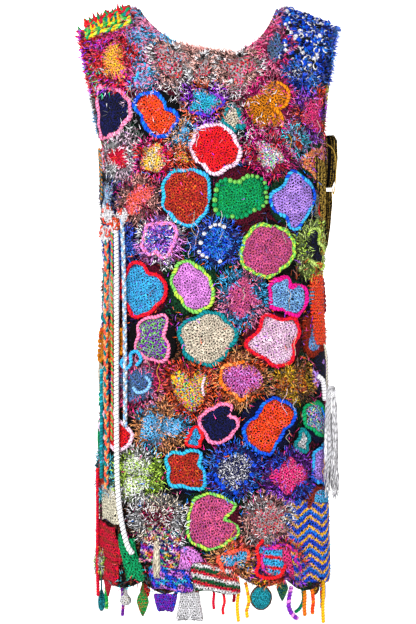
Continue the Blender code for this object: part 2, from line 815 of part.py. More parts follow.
def tassel(one, carriers):
    """A bound head whose underside is a grid of cells, with every other cell drawn out as a strand."""
    cells_x, cells_y = 2 * one.columns - 1, 2 * one.rows - 1
    step = one.strand
    bm = bmesh.new()
    floor = [
        [
            bm.verts.new(((i - cells_x / 2) * step, (j - cells_y / 2) * step, -one.head))
            for j in range(cells_y + 1)
        ]
        for i in range(cells_x + 1)
    ]
    cells = [
        [
            bm.faces.new((floor[i][j], floor[i][j + 1], floor[i + 1][j + 1], floor[i + 1][j]))
            for j in range(cells_y)
        ]
        for i in range(cells_x)
    ]
    rim = [floor[i][0] for i in range(cells_x + 1)]
    rim += [floor[cells_x][j] for j in range(1, cells_y + 1)]
    rim += [floor[i][cells_y] for i in range(cells_x - 1, -1, -1)]
    rim += [floor[0][j] for j in range(cells_y - 1, 0, -1)]
    ring = rim
    for level, share in HEAD_LEVELS:
        upper = [
            bm.verts.new((share * low.co.x, share * low.co.y, -one.head * level)) for low in rim
        ]
        for i in range(len(ring)):
            after = (i + 1) % len(ring)
            bm.faces.new((ring[i], ring[after], upper[after], upper[i]))
        ring = upper
    bm.faces.new(ring)
    fall = (one.length - one.head) / STRAND_STEPS
    for i in range(0, cells_x, 2):
        for j in range(0, cells_y, 2):
            face = cells[i][j]
            shorter = 1 - SHORTER * ((3 * i + 5 * j) % 4)
            for _ in range(STRAND_STEPS):
                face = bmesh.ops.extrude_discrete_faces(bm, faces=[face])["faces"][0]
                bmesh.ops.translate(bm, verts=face.verts, vec=(0, 0, -fall * shorter))
    mesh = bpy.data.meshes.new(one.name)
    bm.to_mesh(mesh)
    bm.free()
    mesh.materials.append(material(WHITE))
    body = bpy.data.objects.new(one.name, mesh)
    body.location = one.place
    bpy.context.scene.collection.objects.link(body)
    return seat(body, carriers, one.seat_way)


# ---- hanging cords -------------------------------------------------------------------------------

# Each route was laid by hand: down from where the cord is sewn on, resting against the body.
Hung = namedtuple("Hung", "name radius seat_way finish route")
SIDE_CORDS = (
    Hung("cord_braid", 0.0040, (0, 0, 1), Finish("braid", (0.62, 0.25, 0.14), 0.9), (
        (-0.167, -0.0480, -0.392), (-0.167, -0.0520, -0.450), (-0.168, -0.0580, -0.550),
        (-0.167, -0.0630, -0.650), (-0.166, -0.0650, -0.730), (-0.167, -0.0660, -0.800),
    )),
    Hung("cord_coral", 0.0022, (0, 0, 1), Finish("coral", (0.75, 0.22, 0.17), 0.9), (
        (-0.1575, -0.0610, -0.376), (-0.158, -0.0620, -0.440), (-0.158, -0.0660, -0.540),
        (-0.157, -0.0715, -0.640), (-0.158, -0.0735, -0.722),
    )),
    Hung("cord_white", 0.0045, (0, 0, 1), WHITE, (
        (-0.1500, -0.0710, -0.376), (-0.149, -0.0755, -0.440), (-0.149, -0.0820, -0.540),
        (-0.149, -0.0880, -0.660), (-0.148, -0.0920, -0.770), (-0.143, -0.0985, -0.835),
        (-0.132, -0.1060, -0.885), (-0.122, -0.1110, -0.903),
    )),
    Hung("cord_grey", 0.0035, (0, 0, 1), Finish("grey", (0.45, 0.45, 0.45), 0.9), (
        (-0.1405, -0.0830, -0.362), (-0.138, -0.0870, -0.430), (-0.136, -0.0900, -0.530),
        (-0.135, -0.0960, -0.620), (-0.135, -0.0975, -0.700),
    )),
    Hung("cord_teal", 0.0035, (1, 0.4, 0), Finish("teal", (0.02, 0.30, 0.30), 0.9), (
        (-0.186, -0.0400, -0.595), (-0.186, -0.0420, -0.650), (-0.186, -0.0440, -0.710),
        (-0.186, -0.0450, -0.776),
    )),
    Hung("cord_crimson", 0.0030, (1, 0.3, 0), Finish("crimson", (0.50, 0.02, 0.07), 0.9), (
        (-0.197, -0.0280, -0.760), (-0.197, -0.0300, -0.830), (-0.197, -0.0320, -0.900),
        (-0.196, -0.0330, -0.972),
    )),
)


def side_cord(one, carriers):
    """One of the long cords at the left side."""
    stretch = (Vector(one.route[0]) - Vector(one.route[-1])).length / (len(one.route) - 1)
    steps = max(2, round(stretch / (6 * one.radius)))
    body = cord(one.name, smooth_path(one.route, steps), one.radius, one.finish)
    return seat(body, carriers, one.seat_way)


# ---- hanging from the hem ------------------------------------------------------------------------

# How a pendant widens on its way down: shares of its length and half width, and its half thickness.
Profile = namedtuple("Profile", "down wide thick")
PENDANTS = {
    "triangle": (
        Profile(0.00, 1.00, 0.0020), Profile(0.10, 1.00, 0.0026), Profile(0.55, 0.50, 0.0028),
        Profile(1.00, 0.06, 0.0014),
    ),
    "drop": (
        Profile(0.00, 0.16, 0.0013), Profile(0.34, 0.16, 0.0013), Profile(0.50, 0.58, 0.0045),
        Profile(0.72, 1.00, 0.0060), Profile(0.92, 0.68, 0.0050), Profile(1.00, 0.20, 0.0020),
    ),
    "leaf": (
        Profile(0.00, 0.14, 0.0013), Profile(0.22, 0.16, 0.0013), Profile(0.42, 0.80, 0.0026),
        Profile(0.58, 1.00, 0.0032), Profile(0.84, 0.52, 0.0026), Profile(1.00, 0.08, 0.0012),
    ),
    "bud": (
        Profile(0.00, 0.30, 0.0020), Profile(0.35, 0.36, 0.0024), Profile(0.60, 0.95, 0.0070),
        Profile(0.82, 1.00, 0.0075), Profile(1.00, 0.45, 0.0035),
    ),
    "fold": (
        Profile(0.00, 0.40, 0.0030), Profile(0.18, 0.90, 0.0045), Profile(0.50, 1.00, 0.0060),
        Profile(0.80, 0.80, 0.0055), Profile(1.00, 0.34, 0.0030),
    ),
    "disc": (
        Profile(0.00, 0.30, 0.0025), Profile(0.10, 0.62, 0.0035), Profile(0.30, 0.93, 0.0042),
        Profile(0.52, 1.00, 0.0045), Profile(0.76, 0.85, 0.0042), Profile(0.93, 0.50, 0.0035),
        Profile(1.00, 0.22, 0.0025),
    ),
    "flap": (
        Profile(0.00, 0.92, 0.0020), Profile(0.12, 1.00, 0.0026), Profile(0.80, 0.96, 0.0028),
        Profile(1.00, 0.86, 0.0020),
    ),
}
GREEN = Finish("green_yarn", (0.04, 0.30, 0.08), 0.9)
RED = Finish("red_yarn", (0.62, 0.03, 0.04), 0.9)
TEAL = Finish("teal_yarn", (0.02, 0.36, 0.38), 0.9)
STRIPE = Finish("striped_yarn", (0.30, 0.16, 0.28), 0.9)
YELLOW = Finish("yellow_yarn", (0.88, 0.60, 0.06), 0.9)
PURPLE = Finish("purple_yarn", (0.30, 0.10, 0.48), 0.9)
BLUE = Finish("blue_yarn", (0.05, 0.14, 0.48), 0.9)

# What hangs from the hem: the station of the hem it is sewn to, its length and its half width.
Hanging = namedtuple("Hanging", "name side station kind length half_width finish")
HANGINGS = (
    Hanging("hem_drop", "front", 1, "drop", 0.056, 0.0080, TEAL),
    Hanging("hem_triangle", "front", 3, "triangle", 0.034, 0.0110, RED),
    Hanging("hem_bud", "front", 7, "bud", 0.028, 0.0065, WHITE),
    Hanging("hem_leaf", "front", 9, "leaf", 0.056, 0.0085, GREEN),
    Hanging("hem_flap_left", "front", 12, "flap", 0.026, 0.0170, STRIPE),
    Hanging("hem_fold", "front", 15, "fold", 0.058, 0.0110, WHITE),
    Hanging("hem_disc", "front", 24, "disc", 0.036, 0.0170, TEAL),
    Hanging("hem_scrap", "front", 35, "flap", 0.024, 0.0080, BLUE),
    Hanging("hem_back_drop", "back", 9, "drop", 0.050, 0.0080, RED),
    Hanging("hem_back_flap", "back", 17, "flap", 0.028, 0.0170, STRIPE),
    Hanging("hem_back_leaf", "back", 27, "leaf", 0.052, 0.0085, TEAL),
    Hanging("hem_back_disc", "back", 32, "disc", 0.032, 0.0150, YELLOW),
)

# How a short cord hangs, laid by hand: shares of its length aside and down.
PLUMB = ((0.0, 0.0), (0.02, 0.30), (-0.01, 0.65), (0.02, 1.0))
SWAYED = ((0.0, 0.0), (0.06, 0.25), (0.10, 0.55), (0.04, 0.80), (0.06, 1.0))
CURLED = ((0.0, 0.0), (-0.08, 0.30), (-0.10, 0.60), (0.04, 0.84), (0.22, 0.97))
HemCord = namedtuple("HemCord", "name side station length radius hang finish")
HEM_CORDS = (
    HemCord("hem_cord_crimson_a", "front", 18, 0.034, 0.0025, PLUMB, RED),
    HemCord("hem_cord_crimson_b", "front", 19, 0.046, 0.0025, SWAYED, RED),
    HemCord("hem_cord_yellow_a", "front", 21, 0.072, 0.0030, PLUMB, YELLOW),
    HemCord("hem_cord_yellow_b", "front", 22, 0.058, 0.0030, SWAYED, YELLOW),
    HemCord("hem_cord_purple", "front", 28, 0.056, 0.0040, CURLED, PURPLE),
    HemCord("hem_cord_orange_a", "front", 30, 0.042, 0.0034, PLUMB, ORANGE),
    HemCord("hem_cord_orange_b", "front", 31, 0.042, 0.0034, SWAYED, ORANGE),
    HemCord("hem_cord_yellow_c", "front", 33, 0.072, 0.0032, PLUMB, YELLOW),
    HemCord("hem_cord_mixed", "back", 35, 0.054, 0.0034, SWAYED, PURPLE),
    HemCord("hem_cord_back_a", "back", 2, 0.052, 0.0034, SWAYED, GREEN),
    HemCord("hem_cord_back_b", "back", 6, 0.060, 0.0030, PLUMB, PURPLE),
    HemCord("hem_cord_back_c", "back", 13, 0.050, 0.0036, CURLED, BLUE),
    HemCord("hem_cord_back_d", "back", 21, 0.064, 0.0030, SWAYED, RED),
    HemCord("hem_cord_back_e", "back", 24, 0.048, 0.0036, PLUMB, ORANGE),
    HemCord("hem_cord_back_f", "back", 30, 0.058, 0.0032, CURLED, GREEN),
)
HEM_DROP = 0.012


def hem_place(side, station):
    """A point just under the hem at one of its stations, and the way the hem runs there."""
    s = -SPAN_BODY + 2 * SPAN_BODY * station / HEM_STEPS
    h = float(hem_line(side, s))
    out = Vector(outward(side, s, h))
    across = Vector((0, 0, 1)).cross(out).normalized()
    return Vector(on_form(side, s, h, CLOTH / 2)) - Vector((0, 0, HEM_DROP)), across


def hanging(one, carriers):
    """A pendant or scrap that hangs flat in the hem's own line."""
    top, across = hem_place(one.side, one.station)
    out = across.cross(Vector((0, 0, 1)))
    sections = [
        section(
            top - Vector((0, 0, row.down * one.length)),
            across,
            out,
            row.wide * one.half_width,
            row.thick,
        )
        for row in PENDANTS[one.kind]
    ]
    return seat(loft(one.name, sections, one.finish), carriers, (0, 0, 1))


def hem_cord(one, carriers):
    """A short crochet cord that hangs from the hem."""
    top, across = hem_place(one.side, one.station)
    stops = [
        top + across * aside * one.length - Vector((0, 0, down * one.length))
        for aside, down in one.hang
    ]
    body = cord(one.name, smooth_path(stops, 2), one.radius, one.finish)
    return seat(body, carriers, (0, 0, 1))


# ---- the dress -----------------------------------------------------------------------------------


def build():
    """Every piece of the dress, each on what carries it."""
    front = panel("front", "front_panel", Finish("front_crochet", (0.42, 0.16, 0.28), 0.9))
    back = panel("back", "back_panel", Finish("back_crochet", (0.22, 0.24, 0.42), 0.9))
    walls = [front, back]
    dark = Finish("dark_trim", (0.10, 0.05, 0.08), 0.9)
    edging("neck_edging", neck_stops(), NECK_CORD, 1, dark)
    peach = Finish("peach_yarn", (0.75, 0.42, 0.32), 0.9)
    rope = edging("armhole_rope_left", armhole_stops(-1), LEFT_ROPE, 1, RED)
    right_cord = edging("armhole_cord_right", armhole_stops(1), RIGHT_CORD, -1, peach)
    for strip in STRIPS:
        seat(side_strip(strip), walls, (-0.75, 0.66, 0))
    wheels = [rosette(one, walls) for one in ROSETTES]
    side_loop([*walls, rope])
    for name, rows in FLAPS.items():
        side_flap(name, rows, [*walls, right_cord])
    for one in TASSELS:
        tassel(one, walls)
    for one in SIDE_CORDS:
        side_cord(one, wheels if one.seat_way == (0, 0, 1) else walls)
    for one in HANGINGS:
        hanging(one, walls)
    for one in HEM_CORDS:
        hem_cord(one, walls)


def clear_scene():
    """Removes whatever the scene held."""
    for old in list(bpy.data.objects):
        bpy.data.objects.remove(old, do_unlink=True)


if __name__ == "__main__":
    clear_scene()
    build()
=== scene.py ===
"""The look of a freeform crochet dress: stitches, eyelash fuzz, ropes, bobbles, knitted trims and cords.

Frame: metres, +Z up. The dress's front faces -Y, +X is the viewer's right, and the origin lies between
the shoulders. A panel is drawn flat: s runs across it from its middle and h up it from the hem, and
on_form() bends that pattern round the figure, as it does in the solids that are loaded first.
"""

import math
import random
from collections import namedtuple

import bpy
import numpy as np
from bpy.props import FloatProperty, PointerProperty
from bpy.types import Operator, Panel, PropertyGroup
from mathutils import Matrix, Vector
from mathutils.geometry import delaunay_2d_cdt


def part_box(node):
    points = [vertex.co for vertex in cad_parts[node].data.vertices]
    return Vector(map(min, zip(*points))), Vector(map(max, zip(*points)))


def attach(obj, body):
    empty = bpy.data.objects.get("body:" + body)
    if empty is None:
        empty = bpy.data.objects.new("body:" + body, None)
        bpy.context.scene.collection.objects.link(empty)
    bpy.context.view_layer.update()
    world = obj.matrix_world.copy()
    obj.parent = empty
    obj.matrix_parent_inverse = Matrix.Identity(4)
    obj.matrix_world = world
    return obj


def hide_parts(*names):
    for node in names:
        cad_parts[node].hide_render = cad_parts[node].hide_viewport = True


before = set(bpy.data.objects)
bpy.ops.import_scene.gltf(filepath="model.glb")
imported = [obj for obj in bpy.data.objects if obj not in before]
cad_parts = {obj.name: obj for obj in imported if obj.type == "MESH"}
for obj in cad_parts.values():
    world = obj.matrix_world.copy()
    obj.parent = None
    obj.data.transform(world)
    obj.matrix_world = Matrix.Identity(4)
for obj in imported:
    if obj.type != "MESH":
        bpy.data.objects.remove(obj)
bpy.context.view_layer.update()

bl_info = {
    "name": "Crochet dress",
    "version": (1, 0, 0),
    "blender": (4, 5, 0),
    "location": "3D View > Sidebar > Crochet",
    "description": "Builds the yarns, fuzz, trims and cords of a freeform crochet dress",
    "category": "Object",
}

MM = 0.001
TURN = 2 * math.pi


def table(name, columns, text):
    """Named rows from lines of words, which go on where a line begins with a space.

    A last column with a star takes all the words that are left, and a missing word counts as None.
    """
    last = columns.count(" ")
    row = namedtuple(name, columns.replace("*", ""), defaults=[None] * last)

    def value(word):
        if "," in word:
            return tuple(map(float, word.split(",")))
        if word.strip("-.0123456789"):
            return word
        return float(word) if "." in word else int(word)

    lines = text.replace("\n ", " ").strip().split("\n")
    lines = [[value(word) for word in line.split()] for line in lines]
    if "*" in columns:
        lines = [[*words[:last], tuple(words[last:])] for words in lines]
    return [row(*words) for words in lines]


# ---- the form, as in the solids ----
HEM_Z = -0.958
UNDERARM_Z = -0.237
SHOULDER_HALF = 0.206
NECK_HALF = 0.118
SHOULDER_DROP = 0.033
SIDE_LEAN = 0.009
GAP = 0.0003
CLOTH = 0.003
MOTIF_RISE = 0.003
FOOT_RISE = 0.001

Girth = namedtuple("Girth", "name z half_width front back")
GIRTHS = (
    Girth("hem", HEM_Z, 0.184, 0.126, 0.128),
    Girth("hip", -0.62, 0.181, 0.122, 0.132),
    Girth("waist", -0.42, 0.174, 0.114, 0.112),
    Girth("bust", -0.275, 0.177, 0.128, 0.112),
    Girth("underarm", UNDERARM_Z, 0.178, 0.124, 0.114),
)
UNDERARM_H = UNDERARM_Z - HEM_Z
RISE = 0.28
TOP_H = UNDERARM_H + RISE
SPAN_BODY = 0.238
SPAN_CHEST = 0.211
CHEST_FROM = 0.35
CHEST_TURN = math.radians(62)
ARMHOLE_REACH = 0.058
ARMHOLE_ROUND = 0.85
ACROSS_EASE = 0.103
RISE_EASE = 0.15

NECK_SPAN = 0.114
NECK_DEPTH = {"front": 0.126, "back": 0.12}
NECK_TILT = {"front": 0.12, "back": 0.0}
NECK_SQUARE = 2.5

LOBE_WIDTH = SPAN_BODY / 3
LOBE_RISE = {"front": 0.017, "back": 0.015}
HEM_SWAY = 0.007
FLUTES = 11
BROAD_FLUTES = 5
FLUTE_DEPTH = 0.0036
FLUTE_HEIGHT = 0.55


def smooth(t):
    """0 to 1 with level ends."""
    t = np.clip(t, 0.0, 1.0)
    return t * t * (3 - 2 * t)


def girth(z, column):
    """A column of the girth table at height z, eased from row to row."""
    heights = np.array([row.z for row in GIRTHS])
    values = np.array([getattr(row, column) for row in GIRTHS])
    at = np.clip(np.searchsorted(heights, z) - 1, 0, len(heights) - 2)
    share = smooth((z - heights[at]) / (heights[at + 1] - heights[at]))
    return values[at] + (values[at + 1] - values[at]) * share


def half_span(h):
    """Half the pattern's width at height h: to the side seam, then to the armhole."""
    above = smooth((h - UNDERARM_H) / (RISE * CHEST_FROM))
    return SPAN_BODY + (SPAN_CHEST - SPAN_BODY) * above


def bare_form(side, s, h):
    """The points of the figure under pattern points (s, h), without the cloth's own flutes."""
    forward = -1.0 if side == "front" else 1.0
    low_z = np.minimum(HEM_Z + h, UNDERARM_Z)
    rise = np.clip((h - UNDERARM_H) / RISE, 0.0, 1.0)
    lift = math.pi / 2 * rise - RISE_EASE * np.sin(math.pi * rise)
    width = girth(low_z, "half_width")
    depth = girth(low_z, side)
    edge_x = width + (SHOULDER_HALF - width) * smooth(rise)
    edge_y = ARMHOLE_REACH * np.sin(math.pi * rise**ARMHOLE_ROUND)
    centre_y = depth * np.cos(lift)
    turn = math.pi / 2 - (math.pi / 2 - CHEST_TURN) * smooth(rise / CHEST_FROM)
    share = s / half_span(h)
    ease = ACROSS_EASE / turn
    angle = turn * (share - ease * np.sin(2 * turn * share)) / (1 - ease * np.sin(2 * turn))
    x = edge_x * np.sin(angle) / np.sin(turn)
    y = forward * (centre_y + (edge_y - centre_y) * (1 - np.cos(angle)) / (1 - np.cos(turn)))
    slope = np.clip((np.abs(x) - NECK_HALF) / (SHOULDER_HALF - NECK_HALF), 0.0, 1.3)
    seam_z = -SHOULDER_DROP * slope
    z = low_z + (seam_z - UNDERARM_Z) * np.sin(lift)
    x = x + SIDE_LEAN * smooth((-z - 0.05) / 0.25)
    return np.stack([x, y, z], axis=-1)


def unit(rows):
    """Rows of vectors made one long."""
    return rows / np.linalg.norm(rows, axis=-1, keepdims=True)


STEP = 0.0005


def directions(side, s, h):
    """The form's directions at pattern points: across, up, and outward from the figure."""
    across = bare_form(side, s + STEP, h) - bare_form(side, s - STEP, h)
    up = bare_form(side, s, h + STEP) - bare_form(side, s, h - STEP)
    normal = np.cross(across, up) * (1.0 if side == "front" else -1.0)
    return unit(across), unit(up), unit(normal)


def outward(side, s, h):
    """The unit normal of the form, away from the figure."""
    return directions(side, s, h)[2]


def flutes(side, s, h):
    """How far the cloth waves in and out, deepest at the hem."""
    low = 1 - smooth(h / FLUTE_HEIGHT)
    turn = 0.25 * s / SPAN_BODY
    around = turn if side == "front" else 0.5 - turn
    wave = np.sin(TURN * FLUTES * around) + 0.5 * np.sin(TURN * BROAD_FLUTES * around + 1.0)
    return FLUTE_DEPTH * low * wave


def on_form(side, s, h, out=0.0):
    """Pattern points (s, h) bent round the figure, standing out from the cloth's inside."""
    offset = flutes(side, s, h) + out
    return bare_form(side, s, h) + outward(side, s, h) * offset[..., None]


# ---- the layout of the motifs, as in the solids ----
Motif = namedtuple("Motif", "s h radius shape turn edging core trim")

PITCH = 0.083
ROW_PITCH = 0.074
FIRST_ROW = 0.62
JITTER = 0.011
SMALLEST, LARGEST = 0.032, 0.05
INSIDE = 0.016
SETTLE_ROUNDS = 40
SETTLE_CROWD, SETTLE_PUSH, SETTLE_ROOM = 0.97, 0.22, 0.55
FILL_STEP = 0.007
FILL_SMALLEST = 0.0165
FILL_CROWD = 0.93
SEEDS = {"front": 41, "back": 77}
SHAPES = ("round", "round", "oval", "oval", "clover", "leaf", "heart")
EDGINGS = ("fuzzy", "fuzzy", "chain", "chain", "bobble", "fuzzy")
YARN_COUNT = 28
CREST_SHARE = 0.8
CREST_RISE = {"fuzzy": 0.0065, "chain": 0.005, "bobble": 0.006}
CELL_MARGIN = 0.001
EDGE_MARGIN = 0.0035
REACH, LEAST_REACH, REACH_STEP = 1.12, 0.006, 0.0015
FILLED_REACH = 1.3


def hem_line(side, s):
    """The height of the ragged hem under s."""
    lobes = 1 - np.abs(np.cos(math.pi * s / LOBE_WIDTH))
    sway = 1 + np.sin(s * 23.0 + (0.6 if side == "front" else 2.1))
    return LOBE_RISE[side] * lobes + HEM_SWAY * sway


def neck_line(side, s):
    """The height of the neckline over s, or the shoulder's where there is no neck."""
    share = np.clip(s / NECK_SPAN, -1.0, 1.0)
    bowl = (1 - np.abs(share) ** NECK_SQUARE) ** (1 / NECK_SQUARE)
    return TOP_H - NECK_DEPTH[side] * bowl * (1 + NECK_TILT[side] * share)


def neck_room(side, s, h):
    """How far outside the neckline a pattern point lies."""
    below = float(neck_line(side, s)) - h
    if abs(s) >= NECK_SPAN:
        below = NECK_SPAN
    depth = (TOP_H - h) / NECK_DEPTH[side]
    if depth >= 1:
        return below
    beside = abs(s) - NECK_SPAN * (1 - max(depth, 0.0) ** NECK_SQUARE) ** (1 / NECK_SQUARE)
    if below <= 0 or beside <= 0:
        return min(below, beside)
    return below * beside / math.hypot(below, beside)


def room(side, s, h):
    """How far inside its panel a pattern point lies, less than nothing outside it."""
    return min(
        float(half_span(h)) - abs(s),
        h - float(hem_line(side, s)),
        TOP_H - h,
        neck_room(side, s, h),
    )


def scatter(side):
    """The motifs of a panel: uneven rows of discs, pushed apart until they fill the panel."""
    rng = random.Random(SEEDS[side])
    found = []
    for row in range(int(TOP_H / ROW_PITCH) + 1):
        h = ROW_PITCH * (row + FIRST_ROW)
        span = float(half_span(h))
        count = int(2 * span / PITCH + 0.5) - row % 2
        for column in range(count):
            s = 2 * span * ((column + 0.5) / count - 0.5) + rng.uniform(-JITTER, JITTER)
            place = h + rng.uniform(-JITTER, JITTER)
            one = [s, place, rng.uniform(SMALLEST, LARGEST), rng.choice(SHAPES), *drawn(rng)]
            if room(side, s, min(place, TOP_H)) > INSIDE:
                found.append(one)
    for _ in range(SETTLE_ROUNDS):
        settle(side, found)
    fill_in(side, found, rng)
    return [Motif(*values) for values in found]


def drawn(rng):
    """A motif's turn, its edging and two numbers that vary its look."""
    turn, edging = rng.uniform(0, TURN), rng.choice(EDGINGS)
    return turn, edging, rng.randrange(YARN_COUNT), rng.randrange(YARN_COUNT)


def fill_in(side, found, rng):
    """Small motifs in the widest places that are left bare."""
    across = np.arange(FILL_STEP / 2 - SPAN_BODY, SPAN_BODY, FILL_STEP)
    spots = [(float(s), float(h)) for s in across for h in np.arange(0.0, TOP_H, FILL_STEP)]
    spread = np.array(spots)
    free = np.array([room(side, s, h) for s, h in spots])

    def crowd(one):
        gaps = np.hypot(spread[:, 0] - one[0], spread[:, 1] - one[1]) - FILL_CROWD * one[2]
        np.minimum(free, gaps, out=free)

    for one in found:
        crowd(one)
    while free.max() > FILL_SMALLEST:
        widest = int(free.argmax())
        found.append([*spots[widest], float(free[widest]), "round", *drawn(rng)])
        crowd(found[-1])


def settle(side, found):
    """One round of pushing: crowded motifs give way, and none leaves its panel."""
    for i, one in enumerate(found):
        for other in found[i + 1 :]:
            ds, dh = other[0] - one[0], other[1] - one[1]
            apart = math.hypot(ds, dh)
            crowding = (one[2] + other[2]) * SETTLE_CROWD - apart
            if crowding > 0:
                push = SETTLE_PUSH * crowding / apart
                for end, sign in ((one, -1), (other, 1)):
                    moved = (end[0] + sign * push * ds, end[1] + sign * push * dh)
                    if room(side, *moved) > SETTLE_ROOM * end[2]:
                        end[0], end[1] = moved


def shape_share(shape, angle):
    """The outline of a motif's kind: its reach at an angle, as a share of its radius."""
    if shape == "oval":
        return 0.82 / math.sqrt(1 - 0.42 * math.cos(angle) ** 2)
    if shape == "clover":
        return 0.92 + 0.11 * math.cos(5 * angle)
    if shape == "leaf":
        return 0.7 + 0.42 * abs(math.cos(angle)) ** 2.5
    if shape == "heart":
        return 0.98 - 0.3 * math.exp(-((angle % (2 * math.pi) - math.pi) ** 2) / 0.12)
    return 1.0


def outline(side, motif, others, count, margin, grow=REACH):
    """A motif's outline as count reaches from its centre, held inside its own cell by margin."""
    reaches = []
    for angle in circle(count):
        across, up = math.cos(angle), math.sin(angle)
        reach = motif.radius * grow * shape_share(motif.shape, angle - motif.turn)
        for other in others:
            ds, dh = other.s - motif.s, other.h - motif.h
            along = ds * across + dh * up
            if other is not motif and along > 0:
                cut = (ds * ds + dh * dh + motif.radius**2 - other.radius**2) / (2 * along)
                reach = min(reach, cut - margin)
        while reach > LEAST_REACH:
            far = reach + margin
            if room(side, motif.s + across * far, motif.h + up * far) > EDGE_MARGIN:
                break
            reach -= REACH_STEP
        reaches.append(reach)
    return np.array(soften(reaches))


def soften(reaches):
    """Rounds an outline's corners off, never outwards."""
    count = len(reaches)
    width = max(1, count // 18)
    result = []
    for i, reach in enumerate(reaches):
        near = [reaches[(i + k) % count] for k in range(-width, width + 1)]
        result.append(min(reach, sum(near) / len(near)))
    return result


SLITS = table("Slit", "side s h half_width half_height", """
front -0.176 0.052 0.009 0.006
back 0.12 0.06 0.008 0.006
""")


def in_slit(slits, s, h, grow=1.0):
    """Whether a pattern point lies in one of the gaps, grown by a factor."""
    return any(
        math.hypot((s - one.s) / one.half_width, (h - one.h) / one.half_height) < grow for one in slits
    )


# ---- the yarns ----
YARNS = table("Yarn", "name colour", """
crimson 0.6,0.003,0.03
scarlet 0.88,0.01,0.016
orange_red 0.92,0.055,0.006
orange 0.86,0.17,0.01
ochre 0.68,0.21,0.004
gold 0.98,0.5,0.008
lime 0.46,0.72,0.06
pale_lime 0.56,0.74,0.18
grass 0.16,0.52,0.09
green 0.004,0.34,0.06
emerald 0.002,0.3,0.1
forest 0.006,0.09,0.03
teal 0.003,0.2,0.23
turquoise 0.02,0.42,0.55
sky 0.04,0.42,0.8
pale_blue 0.22,0.48,0.85
denim 0.07,0.19,0.5
royal 0.004,0.06,0.62
blue 0.008,0.18,0.76
navy 0.006,0.008,0.075
black 0.005,0.005,0.007
purple 0.19,0.015,0.42
lilac 0.46,0.26,0.86
orchid 0.68,0.22,0.7
mauve 0.48,0.07,0.3
rose 0.58,0.08,0.2
hot_pink 0.88,0.03,0.2
magenta 0.78,0.004,0.24
pink 0.92,0.22,0.42
pale_pink 0.86,0.58,0.74
dusty_pink 0.8,0.34,0.31
blush 0.86,0.46,0.4
coral 0.95,0.1,0.055
peach 0.95,0.36,0.12
terracotta 0.68,0.085,0.01
brick 0.38,0.02,0.016
brown 0.14,0.045,0.018
maroon 0.2,0.004,0.035
ivory 0.68,0.63,0.48
oatmeal 0.6,0.5,0.39
white 0.76,0.75,0.78
grey 0.32,0.32,0.34
slate 0.07,0.11,0.18
olive 0.24,0.17,0.03
mustard 0.46,0.29,0.05
""")
COLOURS = {one.name: one.colour for one in YARNS}


def yarn(name, last=0.5):
    """A yarn's colour, and the fourth value that goes with it."""
    return np.array([*COLOURS[name], last])


# How a motif looks: its middle, the yarn mixed into it and how much, its border's two yarns, and
# where it has eyelash, the two yarns of its rim and how far they grow over the middle.
LOOK = "core second mixed border border_second hair hair_second cover"
FUZZY_LOOKS = table("Look", LOOK, """
crimson scarlet 0.15 crimson crimson white pale_pink 0.3
rose mauve 0.25 lime grass sky pink 0.12
black navy 0.3 pale_lime lime pale_lime lime 0.35
denim pale_blue 0.35 orange peach orange_red peach 0.2
white hot_pink 0.5 magenta purple magenta crimson 0.1
gold royal 0.5 orange terracotta orange_red terracotta 0.2
brown orange 0.45 gold gold gold brown 0.75
grey crimson 0.4 dusty_pink oatmeal dusty_pink white 0.25
slate denim 0.4 hot_pink pink hot_pink pink 0.2
hot_pink rose 0.3 hot_pink purple purple orange_red 0.15
mauve orchid 0.4 orange peach peach terracotta 0.2
turquoise sky 0.35 purple royal purple terracotta 0.15
orange_red scarlet 0.25 gold gold ivory gold 0.45
ochre brown 0.2 ochre ochre magenta maroon 0.1
sky pale_blue 0.25 coral coral coral peach 0.25
royal blue 0.4 blue royal royal blue 0.95
maroon black 0.35 white grey white oatmeal 0.7
pale_blue sky 0.35 peach white peach sky 0.4
brick terracotta 0.25 sky sky turquoise pale_blue 0.22
purple blue 0.45 orchid pink orchid white 0.8
white lime 0.35 lime pale_lime lime white 0.45
pale_blue white 0.35 black navy navy black 0.25
lilac purple 0.2 royal blue royal navy 0.15
gold ivory 0.45 scarlet purple scarlet magenta 0.3
""")
CHAIN_LOOKS = table("Look", LOOK, """
lilac lilac 0.0 sky royal
orchid orchid 0.0 grass lime
navy royal 0.4 white white
scarlet crimson 0.15 pale_pink pale_pink
white white 0.0 teal teal
pale_blue denim 0.3 magenta magenta
pale_pink orchid 0.15 crimson scarlet
denim pale_blue 0.55 emerald emerald
navy black 0.35 pink pink
rose mauve 0.25 grass lime
lilac orchid 0.15 gold gold
oatmeal ivory 0.25 teal teal
purple grass 0.45 pink pink
brick terracotta 0.2 sky turquoise
orange_red coral 0.25 royal blue
sky denim 0.25 scarlet crimson
""")
BOBBLE_LOOKS = table("Look", LOOK, """
sky turquoise 0.3 navy white
navy white 0.3 royal navy royal blue 0.3
hot_pink pink 0.2 purple orange purple royal 0.1
ochre brown 0.15 ochre terracotta
emerald green 0.25 grass emerald
coral pink 0.2 maroon crimson dusty_pink maroon 0.15
royal sky 0.25 white navy blue royal 0.6
peach coral 0.3 brick maroon
""")
LOOKS = {"fuzzy": FUZZY_LOOKS, "chain": CHAIN_LOOKS, "bobble": BOBBLE_LOOKS}


